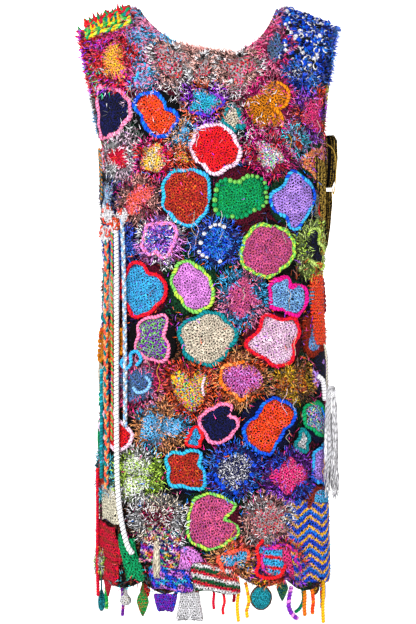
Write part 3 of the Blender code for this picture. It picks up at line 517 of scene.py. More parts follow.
# ---- gathering meshes ----
class Batch:
    """Points with their yarns and stitch places, and the faces between them, gathered for one mesh."""

    def __init__(self):
        self.points, self.faces, self.count = [], [], 0
        self.layers = {"yarn": [], "second": [], "rim": [], "stitch": []}

    def add(self, points, faces, first, second=None, stitch=0.0, rim=0.0):
        """Points as rows of three, with blocks of faces of three or of four corners."""
        points = np.asarray(points, float).reshape(-1, 3)
        self.points.append(points)
        self.faces += [np.asarray(block, int) + self.count for block in faces if len(block)]
        values = (first, first if second is None else second, rim, stitch)
        for layer, value, width in zip(self.layers.values(), values, (4, 4, 4, 3)):
            layer.append(np.broadcast_to(value, (len(points), width)))
        self.count += len(points)

    def build(self, name, kind, slot, *nodes):
        """The mesh as a piece on the dress, of a kind of material, standing for nodes."""
        points = np.concatenate(self.points)
        corners = np.concatenate([block.ravel() for block in self.faces])
        sizes = np.concatenate([np.full(len(block), block.shape[1]) for block in self.faces])
        mesh = bpy.data.meshes.new(name)
        mesh.vertices.add(len(points))
        mesh.vertices.foreach_set("co", points.astype(np.float32).ravel())
        mesh.loops.add(len(corners))
        mesh.loops.foreach_set("vertex_index", corners.astype(np.int32))
        mesh.polygons.add(len(sizes))
        starts = np.concatenate([[0], np.cumsum(sizes)[:-1]])
        mesh.polygons.foreach_set("loop_start", starts.astype(np.int32))
        mesh.update(calc_edges=True)
        for title, rows in self.layers.items():
            form, field = ("VECTOR", "vector") if title == "stitch" else ("COLOR", "color")
            layer = mesh.attributes.new(title, "FLOAT_" + form, "POINT")
            layer.data.foreach_set(field, np.concatenate(rows).astype(np.float32).ravel())
        mesh.shade_smooth()
        mesh.materials.append(material(kind))
        piece = placed(name, mesh)
        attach(piece, "root")
        if nodes:
            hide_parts(*nodes)
        return piece


def placed(name, data):
    """A new object in the scene."""
    made = bpy.data.objects.new(name, data)
    bpy.context.scene.collection.objects.link(made)
    return made


def circle(count):
    """The angles of places evenly round a circle."""
    return TURN * np.arange(count) / count


def grid_faces(rows, columns, closed=True):
    """Faces of four corners over rows of points, closed round the columns or open."""
    low = np.arange(rows - 1)[:, None] * columns
    column = np.arange(columns if closed else columns - 1)
    after, high = (column + 1) % columns, low + columns
    return np.stack([low + column, low + after, high + after, high + column], -1).reshape(-1, 4)


def fan(hub, ring, inwards=False):
    """Triangles from a hub to a closed ring of indices."""
    ring = np.asarray(ring)
    after = np.roll(ring, -1)
    pair = (after, ring) if inwards else (ring, after)
    return np.stack([np.full(len(ring), hub), *pair], axis=-1)


def along_path(path, closed=False):
    """The direction of a path at each of its points, and the distance along it."""
    around = np.roll(path, -1, axis=0) - np.roll(path, 1, axis=0)
    steps = np.linalg.norm(np.diff(path, axis=0), axis=1)
    return unit(around if closed else np.gradient(path, axis=0)), np.concatenate([[0], np.cumsum(steps)])


def path_frame(path, facing, closed):
    """The distance along a path, and its sideways and outward directions: it faces roughly outwards."""
    run, far = along_path(path, closed)
    facing = np.broadcast_to(np.asarray(facing, float), path.shape)
    out = unit(facing - (facing * run).sum(axis=1, keepdims=True) * run)
    return far, np.cross(run, out), out


def lofted(batch, rings, first, second, stitch, hubs=None):
    """A closed body through rings of points, with its ends capped."""
    rows, sides = rings.shape[:2]
    total, last, around = rows * sides, (rows - 1) * sides, np.arange(sides)
    hubs = rings[[0, -1]].mean(axis=1) if hubs is None else hubs
    spread = np.r_[:total, 0, last]
    rest = [value[spread] if np.ndim(value) == 2 else value for value in (first, second, stitch)]
    faces = grid_faces(rows, sides), fan(total, around, True), fan(total + 1, last + around)
    batch.add(np.concatenate([rings.reshape(-1, 3), hubs]), faces, *rest)


def tube(batch, path, radius, sides, first, second=None, facing=(0, 1, 0), closed=False,
         link=0.006, flat=1.0):
    """A yarn or rope along a path: facing is roughly its outside, and link its stitch length."""
    path = np.asarray(path, float)
    far, across, out = path_frame(path, facing, closed)
    wide, thick = np.cos(circle(sides)), np.sin(circle(sides))
    size = np.broadcast_to(np.asarray(radius, float), len(path))[:, None, None]
    section = wide[:, None] * across[:, None] + flat * thick[:, None] * out[:, None]
    rings = path[:, None] + size * section
    stitch = np.stack(np.broadcast_arrays((far / link)[:, None], wide, thick), -1).reshape(-1, 3)
    first, second = (
        np.repeat(value, sides, axis=0) if np.ndim(value) == 2 else value for value in (first, second)
    )
    if closed:
        faces = grid_faces(len(path) + 1, sides) % (len(path) * sides)
        batch.add(rings, [faces], first, second, stitch)
    else:
        lofted(batch, rings, first, second, stitch, path[[0, -1]])


def linked(path, radius, link, closed=False, depth=0.3):
    """The radius at each point of a path, swelling once a link."""
    _, far = along_path(path, closed)
    return radius * (1 - depth + depth * np.abs(np.sin(math.pi * far / link)) * 1.3)


def twisted(batch, path, radius, plies, pitch, sides, yarns, facing=(0, 1, 0), closed=False):
    """A rope of plies that wind round a path, as thick over all as radius."""
    far, across, out = path_frame(path, facing, closed)
    turns = max(1, round((far[-1] + (far[1] - far[0] if closed else 0)) / pitch))
    whole = far[-1] + (np.linalg.norm(path[0] - path[-1]) if closed else 0)
    strand = radius / (1 + 1 / math.sin(math.pi / plies)) * 1.25
    for k in range(plies):
        phase = TURN * (turns * far / whole + k / plies)[:, None]
        line = path + (radius - strand) * (np.cos(phase) * across + np.sin(phase) * out)
        tube(batch, line, strand, sides, yarn(yarns[k % len(yarns)]), facing=facing, closed=closed,
             link=pitch / 2)


BALL_ROWS, BALL_COLUMNS = 5, 8


def balls(batch, centres, radii, outs, colours, squash=0.8):
    """Bobbles of yarn at centres, a little flatter along outs."""
    centres, outs = np.asarray(centres, float), unit(np.asarray(outs, float))
    lean = np.where(np.abs(outs[:, 2:]) < 0.9, [[0, 0, 1.0]], [[1.0, 0, 0]])
    across = unit(np.cross(lean, outs))
    axes = np.stack([across, np.cross(outs, across), squash * outs], axis=1)
    tilt = (math.pi * np.arange(1, BALL_ROWS) / BALL_ROWS)[:, None]
    wide, turn = np.sin(tilt), circle(BALL_COLUMNS)
    local = np.broadcast_arrays(wide * np.cos(turn), wide * np.sin(turn), np.cos(tilt))
    local = np.concatenate([np.stack(local, -1).reshape(-1, 3), [[0, 0, 1.0], [0, 0, -1.0]]])
    each, around, last = len(local), np.arange(BALL_COLUMNS), (BALL_ROWS - 2) * BALL_COLUMNS
    quads = grid_faces(BALL_ROWS - 1, BALL_COLUMNS)[:, ::-1]
    caps = np.concatenate([fan(each - 2, around), fan(each - 1, last + around, True)])
    start = (np.arange(len(centres)) * each)[:, None, None]
    tint = np.repeat(np.asarray(colours, float), each, axis=0)
    batch.add(
        centres[:, None] + np.asarray(radii, float)[:, None, None] * (local @ axes),
        [(quads + start).reshape(-1, 4), (caps + start).reshape(-1, 3)],
        tint, tint, np.tile(local[:, [2, 0, 1]] * [2, 1, 1], (len(centres), 1)),
    )


# ---- eyelash fuzz ----
BASE_THICK, BRIGHT_THICK = 0.00068, 0.00094
# Painted light: BASE_LIGHT darkens most hairs as painted shade and BRIGHT_LIGHT lightens the bright ones
# as a painted highlight.
BASE_LIGHT, BRIGHT_LIGHT, BRIGHTEST = 0.62, 2.4, 0.97
BRIGHT_LENGTH = 1.22
# Painted shade: ROOT_SHADE darkens the ring at each hair's root.
ROOT_SHADE = 0.34
TUFT_TONE = 0.36
HAIR_TILT = 0.45
SHARE_BENT = 0.08
HAIR_CURL, HAIR_BEND, KNEE_SHARE = 0.45, 0.5, 0.8
SHARE_FROSTED, LEAST_FROSTED = 0.5, 0.12


class Fuzz:
    """Eyelash hairs, gathered as roots and tips and built as thin bent spikes."""

    def __init__(self):
        self.rows = []

    def add(self, side, s, h, out, way, length, lift, colours):
        """Hairs on a panel: where they root, the way they point on the pattern, and their yarn."""
        across, up, normal = directions(side, s, np.minimum(h, TOP_H - STEP))
        root = bare_form(side, s, h) + normal * (flutes(side, s, h) + out)[:, None]
        run = np.cos(way)[:, None] * across + np.sin(way)[:, None] * up
        self.rows.append((root, run, normal, length, lift, colours))

    def build(self, name, rng, settings):
        """All the hairs as one piece."""
        root, run, normal, length, lift, colours = map(np.concatenate, zip(*self.rows))
        count = len(root)
        bright = rng.random(count) < settings.bright_share
        reach = (length * np.where(bright, BRIGHT_LENGTH, 1.0))[:, None]
        # Painted light and shade in the hairs' colours: bright hairs lighter as a highlight, the rest
        # darker as shade, varied in clumps by TUFT_TONE.
        light = np.where(bright, BRIGHT_LIGHT, BASE_LIGHT)
        across, up = root[:, 0], root[:, 2]
        tuft = np.sin(560 * across + 2 * np.sin(390 * up)) * np.sin(520 * up + 2 * np.sin(350 * across))
        light = np.minimum(light * (1 + TUFT_TONE * tuft), BRIGHTEST / colours[:, :3].max(axis=1))
        colours[:, :3] *= light[:, None]
        thick = np.where(bright, BRIGHT_THICK, BASE_THICK)[:, None, None]
        bent = bright | (rng.random(count) < SHARE_BENT)
        beside = np.cross(normal, run)
        curl = rng.normal(0.0, HAIR_CURL, count)[:, None] * beside
        first, second = (
            unit(np.cos(rise)[:, None] * run + np.sin(rise)[:, None] * normal + aside)
            for rise, aside in ((lift, 0.0), (lift - HAIR_BEND, curl))
        )
        middle = root + 0.5 * reach * first
        tip = np.where(bent[:, None], middle + 0.5 * reach * second, root + reach * first)
        turn = circle(3)[:, None]
        ring = thick * (np.cos(turn) * beside[:, None] + np.sin(turn) * np.cross(beside, first)[:, None])
        # Painted shade: the root rings take the hair's colour darkened by ROOT_SHADE.
        dark = colours * [ROOT_SHADE, ROOT_SHADE, ROOT_SHADE, 1.0]
        frost = settings.frost * (bright & (rng.random(count) < SHARE_FROSTED))
        frost = frost * (colours.max(axis=1) > LEAST_FROSTED)
        frosted = colours + frost[:, None] * (yarn("white") - colours)
        facing = unit(normal + HAIR_TILT * rng.normal(0, 1, normal.shape))
        batch, facings = Batch(), []
        for pick, stages in ((bent, 2), (~bent, 1)):
            rings, tints = [root[pick][:, None] + ring[pick]], [dark[pick]] * 3
            if stages == 2:
                rings.append(middle[pick][:, None] + KNEE_SHARE * ring[pick])
                tints += [colours[pick]] * 3
            points = np.concatenate([*rings, tip[pick][:, None]], axis=1)
            each = 3 * stages + 1
            start = (np.arange(len(points)) * each)[:, None, None]
            ends = np.concatenate([fan(each - 1, each - 4 + np.arange(3), True), [[2, 1, 0]]])
            blocks = [(ends + start).reshape(-1, 3), (grid_faces(stages, 3) + start).reshape(-1, 4)]
            batch.add(points, blocks, np.stack([*tints, frosted[pick]], axis=1).reshape(-1, 4))
            facings.append(np.repeat(facing[pick], each, axis=0))
        piece = batch.build(name, "eyelash", "crochet_patchwork")
        piece.data.normals_split_custom_set_from_vertices(np.concatenate(facings))
        return piece


# ---- shading ----
class Sock:
    """A value in a node tree, so that sums read as sums."""

    def __init__(self, tree, socket):
        self.tree, self.socket = tree, socket

    def math(self, operation, *others):
        """A math node over this value and others."""
        node = self.tree.nodes.new("ShaderNodeMath")
        node.operation = operation
        for slot, value in zip(node.inputs, (self, *others)):
            if isinstance(value, Sock):
                self.tree.links.new(value.socket, slot)
            else:
                slot.default_value = value
        return Sock(self.tree, node.outputs[0])

    def __add__(self, other):
        return self.math("ADD", other)

    def __sub__(self, other):
        return self.math("SUBTRACT", other)

    def __rsub__(self, other):
        return (self * -1.0) + other

    def __mul__(self, other):
        return self.math("MULTIPLY", other)

    def __truediv__(self, other):
        return self.math("DIVIDE", other)

    def above(self, other):
        """1 where this is more than other."""
        return self.math("GREATER_THAN", other)

    def held(self, low, high):
        """This value from low to high, as 0 to 1."""
        node = self.tree.nodes.new("ShaderNodeMapRange")
        node.interpolation_type = "SMOOTHSTEP"
        self.tree.links.new(self.socket, node.inputs[0])
        node.inputs[1].default_value = low
        node.inputs[2].default_value = high
        return Sock(self.tree, node.outputs[0])


class Shade:
    """A material's node tree and the one way its nodes are made."""

    def __init__(self, name):
        self.material = bpy.data.materials.new(name)
        self.material.use_nodes = True
        self.tree = self.material.node_tree
        self.surface = self.tree.nodes["Principled BSDF"]

    def node(self, kind, settings=None, inputs=None):
        """A node of a kind, with its settings set first and then its inputs."""
        made = self.tree.nodes.new(kind)
        for name, value in (settings or {}).items():
            setattr(made, name, value)
        for name, value in (inputs or {}).items():
            if isinstance(value, Sock):
                self.tree.links.new(value.socket, made.inputs[name])
            else:
                made.inputs[name].default_value = value
        return made

    def value(self, node, output=0):
        """An output of a node as a value."""
        return Sock(self.tree, node.outputs[output])

    def attribute(self, name):
        """The attribute node of a mesh's own layer."""
        return self.node("ShaderNodeAttribute", {"attribute_name": name})

    def parts(self, vector):
        """A vector's three values."""
        node = self.node("ShaderNodeSeparateXYZ", None, {0: vector})
        return [self.value(node, i) for i in range(3)]

    def joined(self, x, y, z):
        """Three values as a vector."""
        return self.value(self.node("ShaderNodeCombineXYZ", None, {0: x, 1: y, 2: z}))

    def random(self, x, y, z):
        """A random value from 0 to 1 for each place."""
        place = self.joined(x, y, z)
        return self.value(self.node("ShaderNodeTexWhiteNoise", None, {"Vector": place}), "Value")

    def mix(self, share, one, other):
        """Two colours mixed by a share."""
        inputs = {0: share, 6: one, 7: other}
        return self.value(self.node("ShaderNodeMix", {"data_type": "RGBA"}, inputs), 2)

    def dim(self, colour, factor):
        """A colour times a factor."""
        inputs = {0: colour, 1: self.joined(factor, factor, factor)}
        return self.value(self.node("ShaderNodeVectorMath", {"operation": "MULTIPLY"}, inputs))

    def noise(self, scale, detail, output=0):
        """Soft noise in the piece's own space."""
        place = self.value(self.node("ShaderNodeTexCoord"), "Object")
        inputs = {"Vector": place, "Scale": scale, "Detail": detail}
        return self.value(self.node("ShaderNodeTexNoise", None, inputs), output)

    def fibre(self):
        """Fine noise at the size of the yarn's own fibres."""
        return self.noise(850.0, 2.0)

    def finish(self, colour, height, roughness, sheen, depth):
        """Feeds the surface its colour and its bump, and sets its constants."""
        bump = self.node("ShaderNodeBump", None, {"Strength": 1.0, "Distance": depth, "Height": height})
        self.tree.links.new(bump.outputs[0], self.surface.inputs["Normal"])
        self.tree.links.new(colour.socket, self.surface.inputs["Base Color"])
        for name, value in (("Roughness", roughness), ("Specular IOR Level", 0.12),
                            ("Sheen Weight", sheen), ("Sheen Roughness", 0.5)):
            self.surface.inputs[name].default_value = value
        return self.material


# How far uneven tension pulls a stitch aside, in stitches.
PULL = 1.5


def crochet_material():
    """Crochet in rounds or rows: a V for each stitch with a painted highlight on its legs, painted shade
    in the grooves between rows, a hole beside it painted dark as shade, and mixed-in yarn.
    """
    shade = Shade("crochet")
    own, other = shade.attribute("yarn"), shade.attribute("second")
    x, y, in_rows = shade.parts(shade.value(shade.attribute("stitch"), "Vector"))
    pull_x, pull_y, _ = shade.parts(shade.noise(170.0, 1.0, 1))
    x, y = x + (pull_x - 0.5) * PULL, y + (pull_y - 0.5) * PULL
    rounds = (x * x + y * y).math("SQRT")
    turned = y.math("ARCTAN2", x) / TURN + 0.5
    u = turned * (rounds.math("FLOOR") * 6.0 + 4.0)
    u = u + (x - u) * in_rows
    v = rounds + (y + 40.0 - rounds) * in_rows
    row = v.math("FLOOR")
    seed = shade.value(own, "Alpha")
    u = u + shade.random(row, seed, 0.5)
    fu, fv, column = u.math("FRACT"), v.math("FRACT"), u.math("FLOOR")
    middle = (fu - 0.5).math("ABSOLUTE") * 2.0
    leg = 1.0 - ((middle - (fv * 0.6 + 0.2)).math("ABSOLUTE") * 1.7)
    leg = leg.math("MAXIMUM", 0.0)
    aside, low = 1.0 - middle, fv - 0.22
    apart = (aside * aside * 0.5 + low * low * 0.9).math("SQRT")
    luck = shade.random(column, row, seed * 17.0)
    # The hole beside each stitch: it dips the bump, and it is painted dark as shade below.
    hole = (1.0 - apart.held(0.24, 0.5)) * (luck * 2.2 + 0.1)
    hole = hole.math("MINIMUM", 1.0)
    grain = shade.fibre()
    part, bit = (v * 2.4).math("FLOOR"), (u * 2.4).math("FLOOR")
    mixed = shade.value(other, "Alpha")
    speck = mixed.above(shade.random(bit + 0.5, part, seed * 31.0))
    spread = mixed.held(0.47, 0.49) * 0.9 + 0.05
    hue = (shade.random(bit + 0.2, part, seed * 7.0) - 0.5) * spread + 0.5
    bits = shade.node("ShaderNodeHueSaturation", None, {0: hue, 4: shade.value(other, "Color")})
    colour = shade.mix(speck, shade.value(own, "Color"), shade.value(bits))
    # Past the middle, the rim's colour carries painted shade under the fuzz.
    rim = shade.attribute("rim")
    beyond = (shade.value(rim, "Alpha") + grain * 0.1 - 0.05).held(0.98, 1.01)
    colour = shade.mix(beyond, colour, shade.value(rim, "Color"))
    # Painted light and shade: the V's legs lighter, the grooves between rows and the holes darker; luck
    # and grain are the yarn's own uneven tone.
    groove = (fv * math.pi).math("SINE") * 0.3 + 0.74
    light = (leg * 0.94 + 0.42) * groove * (luck * 0.4 + 0.82) * (grain * 0.5 + 0.78)
    colour = shade.dim(colour, light * (1.0 - hole * 0.97))
    height = leg * 0.6 - hole * 0.9 + grain * 0.15
    return shade.finish(colour, height, 0.9, 0.0, 0.0016)


def rope_material():
    """Spun or crocheted rope: strands that wind round it, some of the second yarn, with painted shade in
    the grooves between them.
    """
    shade = Shade("rope")
    own, other = shade.attribute("yarn"), shade.attribute("second")
    far, wide, thick = shade.parts(shade.value(shade.attribute("stitch"), "Vector"))
    turned = thick.math("ARCTAN2", wide) / TURN
    strand = far + turned.math("ABSOLUTE") * 1.6
    body = (strand.math("FRACT") * math.pi).math("SINE")
    fine = ((strand * 3.0).math("FRACT") * math.pi).math("SINE")
    luck = shade.random(strand.math("FLOOR"), shade.value(own, "Alpha"), 0.3)
    grain = shade.fibre()
    share = shade.value(other, "Alpha").above(luck)
    colour = shade.mix(share, shade.value(own, "Color"), shade.value(other, "Color"))
    # Painted shade: darker in the grooves between the strands and along their fine lines; grain is the
    # yarn's own tone.
    groove = body.held(0.0, 0.55)
    colour = shade.dim(colour, (groove * 0.88 + 0.2) * (fine * 0.16 + 0.88) * (grain * 0.36 + 0.82))
    height = groove * 0.7 + fine * 0.2 + grain * 0.1
    return shade.finish(colour, height, 0.85, 0.0, 0.001)


def hair_material():
    """Shiny polyester eyelash, paler to its tip: the hairs' colours are painted dark at the roots as
    shade.
    """
    shade = Shade("eyelash")
    grain = shade.fibre()
    colour = shade.dim(shade.value(shade.attribute("yarn"), "Color"), grain * 0.4 + 0.85)
    return shade.finish(colour, grain, 0.5, 0.1, 0.0001)


PAPER_GLOW = 0.5


def stage_material():
    """Pale matt paper."""
    shade = Shade("studio_paper")
    noise = shade.noise(3.0, 2.0)
    colour = shade.mix(noise, (0.86, 0.86, 0.86, 1.0), (0.89, 0.89, 0.89, 1.0))
    shade.surface.inputs["Emission Color"].default_value = (1.0, 1.0, 1.0, 1.0)
    shade.surface.inputs["Emission Strength"].default_value = PAPER_GLOW
    return shade.finish(colour, noise, 0.9, 0.0, 0.0001)


MATERIALS = {}


def material(kind):
    """One of the dress's materials, made when it is first asked for."""
    makers = {"crochet": crochet_material, "rope": rope_material, "eyelash": hair_material,
              "paper": stage_material}
    if kind not in MATERIALS:
        MATERIALS[kind] = makers[kind]()
    return MATERIALS[kind]


# ---- the stage ----
PHOTO_HIGH = 624
METRES_A_PIXEL = 0.00167
VIEW_CENTRE = (0.0, -0.501)
SWEEP_BEND = 1.0


def add_stage(settings):
    """The camera square to the front, a pale sweep of paper and soft lights."""
    scene, reach = bpy.context.scene, settings.reach
    camera = bpy.data.cameras.new("camera")
    camera.sensor_fit = "VERTICAL"
    camera.sensor_height = 36.0
    camera.lens = camera.sensor_height * settings.distance / (PHOTO_HIGH * METRES_A_PIXEL)
    scene.camera = placed("camera", camera)
    scene.camera.location = (VIEW_CENTRE[0], -settings.distance, VIEW_CENTRE[1])
    scene.camera.rotation_euler = (math.pi / 2, 0, 0)

    turns = [math.pi / 2 * i / 12 for i in range(13)]
    bend = [(reach + SWEEP_BEND * math.sin(a), SWEEP_BEND * (1 - math.cos(a))) for a in turns]
    profile = [(-reach, 0.0), *bend, (reach + SWEEP_BEND, reach)]
    rows = [(x, y, settings.floor + z) for y, z in profile for x in (-1.5 * reach, 1.5 * reach)]
    faces = [(2 * i, 2 * i + 1, 2 * i + 3, 2 * i + 2) for i in range(len(profile) - 1)]
    mesh = bpy.data.meshes.new("paper_sweep")
    mesh.from_pydata(rows, [], faces)
    mesh.shade_smooth()
    mesh.materials.append(material("paper"))
    placed("paper_sweep", mesh)

    for name, place, size, power, aim_y in (
        ("key_light", (-1.6, -3.0, 1.3), 1.8, settings.key, 0.0),
        ("fill_light", (2.2, -2.6, 0.3), 2.2, settings.fill, 0.0),
        ("paper_light", (0.0, 3.6, 3.6), 5.0, settings.back, 7.0),
    ):
        lamp = bpy.data.lights.new(name, "AREA")
        lamp.size = size
        lamp.energy = power
        holder = placed(name, lamp)
        holder.location = place
        aim = Vector((0, aim_y, -0.5)) - Vector(place)
        holder.rotation_euler = aim.to_track_quat("-Z", "Y").to_euler()
    scene.world = bpy.data.worlds.new("studio")
    scene.world.use_nodes = True
    light = scene.world.node_tree.nodes["Background"].inputs
    light[0].default_value = (1.0, 1.0, 1.0, 1.0)
    light[1].default_value = settings.ambient
    scene.view_settings.view_transform = "Standard"


# ---- seating pieces where their solids are ----
def node_box(node):
    """A solid's lowest and highest corners."""
    low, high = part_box(node)
    return np.array(low, float), np.array(high, float)


def to_node(node, points):
    """How far points must move for the middle of their box to be the solid's."""
    low, high = node_box(node)
    points = np.asarray(points, float).reshape(-1, 3)
    return (low + high) / 2 - (points.min(axis=0) + points.max(axis=0)) / 2


def smooth_path(stops, steps):
    """A smooth curve through stops, as steps points a stretch: each bends as its neighbours do."""
    rows = [Vector(stop) for stop in stops]
    rows = [2 * rows[0] - rows[1], *rows, 2 * rows[-1] - rows[-2]]
    path = []
    for before, start, end, after in zip(rows, rows[1:], rows[2:], rows[3:]):
        bend = 2 * before - 5 * start + 4 * end - after
        twist = 3 * start - before - 3 * end + after
        for t in (i / steps for i in range(steps)):
            path.append(0.5 * (2 * start + (end - before) * t + bend * t**2 + twist * t**3))
    return np.array([tuple(point) for point in path + [rows[-2]]])


def resampled(path, step, closed=False):
    """A path with its points evenly spaced."""
    path = np.asarray(path, float)
    if closed:
        path = np.concatenate([path, path[:1]])
    gaps = np.linalg.norm(np.diff(path[:, :3], axis=0), axis=1)
    far = np.concatenate([[0], np.cumsum(gaps)])
    count = max(3, round(far[-1] / step))
    want = np.linspace(0, far[-1], count + 1)
    if closed:
        want = want[:-1]
    return np.stack([np.interp(want, far, path[:, k]) for k in range(path.shape[1])], axis=-1)


# ---- hanging cords ----
# Each route is listed: down from where the cord is sewn on, resting against the body.
SideCord = namedtuple("SideCord", "name radius weave yarns route")
SIDE_CORDS = (
    SideCord("cord_braid", 0.004, "braid", ("coral", "peach", "teal"), (
        (-0.167, -0.048, -0.392), (-0.167, -0.052, -0.45), (-0.168, -0.058, -0.55),
        (-0.167, -0.063, -0.65), (-0.166, -0.065, -0.73), (-0.167, -0.066, -0.8),
    )),
    SideCord("cord_coral", 0.0022, "rope", ("coral", "grass"), (
        (-0.1575, -0.061, -0.376), (-0.158, -0.062, -0.44), (-0.158, -0.066, -0.54),
        (-0.157, -0.0715, -0.64), (-0.158, -0.0735, -0.722),
    )),
    SideCord("cord_white", 0.0045, "chain", ("white", "white"), (
        (-0.15, -0.071, -0.376), (-0.149, -0.0755, -0.44), (-0.149, -0.082, -0.54),
        (-0.149, -0.088, -0.66), (-0.148, -0.092, -0.77), (-0.143, -0.0985, -0.835),
        (-0.132, -0.106, -0.885), (-0.122, -0.111, -0.903),
    )),
    SideCord("cord_grey", 0.0035, "braid", ("grey", "white", "pale_blue"), (
        (-0.1405, -0.083, -0.362), (-0.138, -0.087, -0.43), (-0.136, -0.09, -0.53),
        (-0.135, -0.096, -0.62), (-0.135, -0.0975, -0.7),
    )),
    SideCord("cord_teal", 0.0035, "chain", ("teal", "turquoise"), (
        (-0.186, -0.04, -0.595), (-0.186, -0.042, -0.65), (-0.186, -0.044, -0.71),
        (-0.186, -0.045, -0.776),
    )),
    SideCord("cord_crimson", 0.003, "chain", ("crimson", "scarlet"), (
        (-0.197, -0.028, -0.76), (-0.197, -0.03, -0.83), (-0.197, -0.032, -0.9),
        (-0.196, -0.033, -0.972),
    )),
)

# How a short cord hangs: shares of its length aside and down.
HANGS = {
    "plumb": ((0.0, 0.0), (0.02, 0.3), (-0.01, 0.65), (0.02, 1.0)),
    "swayed": ((0.0, 0.0), (0.06, 0.25), (0.1, 0.55), (0.04, 0.8), (0.06, 1.0)),
    "curled": ((0.0, 0.0), (-0.08, 0.3), (-0.1, 0.6), (0.04, 0.84), (0.22, 0.97)),
}
HEM_CORDS = table("HemCord", "name side station length radius hang yarns*", """
hem_cord_crimson_a front 18 0.034 0.0025 plumb crimson crimson
hem_cord_crimson_b front 19 0.046 0.0025 swayed scarlet crimson
hem_cord_yellow_a front 21 0.072 0.003 plumb gold gold
hem_cord_yellow_b front 22 0.058 0.003 swayed gold ochre
hem_cord_purple front 28 0.056 0.004 curled purple orchid
hem_cord_orange_a front 30 0.042 0.0034 plumb orange ochre
hem_cord_orange_b front 31 0.042 0.0034 swayed orange_red orange
hem_cord_yellow_c front 33 0.072 0.0032 plumb gold gold
hem_cord_mixed back 35 0.054 0.0034 swayed crimson royal
hem_cord_back_a back 2 0.052 0.0034 swayed green grass
hem_cord_back_b back 6 0.06 0.003 plumb purple mauve
hem_cord_back_c back 13 0.05 0.0036 curled blue navy
hem_cord_back_d back 21 0.064 0.003 swayed crimson scarlet
hem_cord_back_e back 24 0.048 0.0036 plumb orange orange_red
hem_cord_back_f back 30 0.058 0.0032 curled emerald teal
""")
HEM_DROP = 0.012
HEM_STEPS = 36
CORD_STEP = 0.0012
CORD_SIDES = 8
HANGING_FACING = (0.3, -1.0, 0.0)


def hem_place(side, station):
    """A point just under the hem at one of its stations, and the way the hem runs there."""
    s = SPAN_BODY * (2 * station / HEM_STEPS - 1)
    h = float(hem_line(side, s))
    across = Vector((0, 0, 1)).cross(Vector(outward(side, s, h))).normalized()
    return Vector(on_form(side, s, h, CLOTH / 2)) - Vector((0, 0, HEM_DROP)), across


def lay_cord(name, stops, radius, weave, yarns):
    """A cord along its route, crocheted, spun or braided, in its solid's place."""
    rough = smooth_path(stops, 8)
    path = resampled(rough + to_node(name, rough), CORD_STEP)
    batch = Batch()
    far = along_path(path)[1]
    if weave == "braid":
        for k, colour in enumerate(yarns):
            phase = TURN * (far / (6.5 * radius) + k / len(yarns))
            aside = [0.5 * radius * np.sin(phase), 0.28 * radius * np.sin(2 * phase), 0 * far]
            tube(batch, path + np.transpose(aside), 0.56 * radius, 6, yarn(colour),
                 facing=HANGING_FACING, link=0.004)
    elif weave == "rope":
        twisted(batch, path, radius, 2, 5 * radius, 6, yarns, facing=HANGING_FACING)
    else:
        sizes = linked(path, radius, 1.5 * radius, depth=0.18)
        sizes[0] = sizes[-1] = 0.6 * radius
        tube(batch, path, sizes, CORD_SIDES, yarn(yarns[0]), yarn(yarns[1], 0.35),
             facing=HANGING_FACING, link=1.5 * radius)
    batch.build(name + "_yarn", "rope", "cord_yarn", name)
    2 * radius


def add_side_cords():
    """The long cords at the left side."""
    for one in SIDE_CORDS:
        lay_cord(one.name, one.route, one.radius, one.weave, one.yarns)


def add_hem_cords():
    """The short cords under the hem."""
    for one in HEM_CORDS:
        top, across = hem_place(one.side, one.station)
        stops = [
            top + across * aside * one.length - Vector((0, 0, down * one.length))
            for aside, down in HANGS[one.hang]
        ]
        lay_cord(one.name, stops, one.radius, "chain", one.yarns)


# ---- the ground cloth ----
GROUND_STEP = 0.009
GROUND_YARNS = ("black", "navy", "black", "forest", "black", "maroon", "black", "brown", "black")
GROUND_PATCHES = 46
# The share the ground's dark yarns are darkened to: painted shade for the gaps between the motifs.
GROUND_PAINTED_SHADE = 0.45
STITCH = 0.0047
HEM_POINTS, SIDE_POINTS, ARMHOLE_POINTS, SHOULDER_POINTS, NECK_POINTS = 144, 66, 40, 12, 72


def border(side):
    """The panel's cut edge as pattern points, anticlockwise from the hem's left end."""
    hem_s = np.linspace(-SPAN_BODY, SPAN_BODY, HEM_POINTS + 1)
    low = [(s, float(hem_line(side, s))) for s in hem_s]

    def rises(corner):
        sides = np.linspace(corner, UNDERARM_H, SIDE_POINTS + 1)[1:]
        return [(float(half_span(h)), h) for h in (*sides, *armhole_rises(ARMHOLE_POINTS)[1:])]

    seam_s = np.linspace(SPAN_CHEST, NECK_SPAN, SHOULDER_POINTS + 1)[1:]
    seam = [(float(s), TOP_H) for s in seam_s]
    neck = neck_stations(side, NECK_POINTS)[1:-1]
    left = [(-s, h) for s, h in seam[::-1] + rises(low[0][1])[::-1]]
    return low + rises(low[-1][1]) + seam + neck[::-1] + left


def armhole_rises(steps):
    """Evenly spaced heights up an armhole."""
    return [UNDERARM_H + RISE * i / steps for i in range(steps + 1)]


def neck_stations(side, steps):
    """Pattern points along the neckline, left to right, closer where it turns."""
    angles = [math.pi * i / steps for i in range(steps + 1)]
    spots = [-NECK_SPAN * math.copysign(abs(math.cos(a)) ** 0.8, math.cos(a)) for a in angles]
    return [(s, float(neck_line(side, s))) for s in spots]


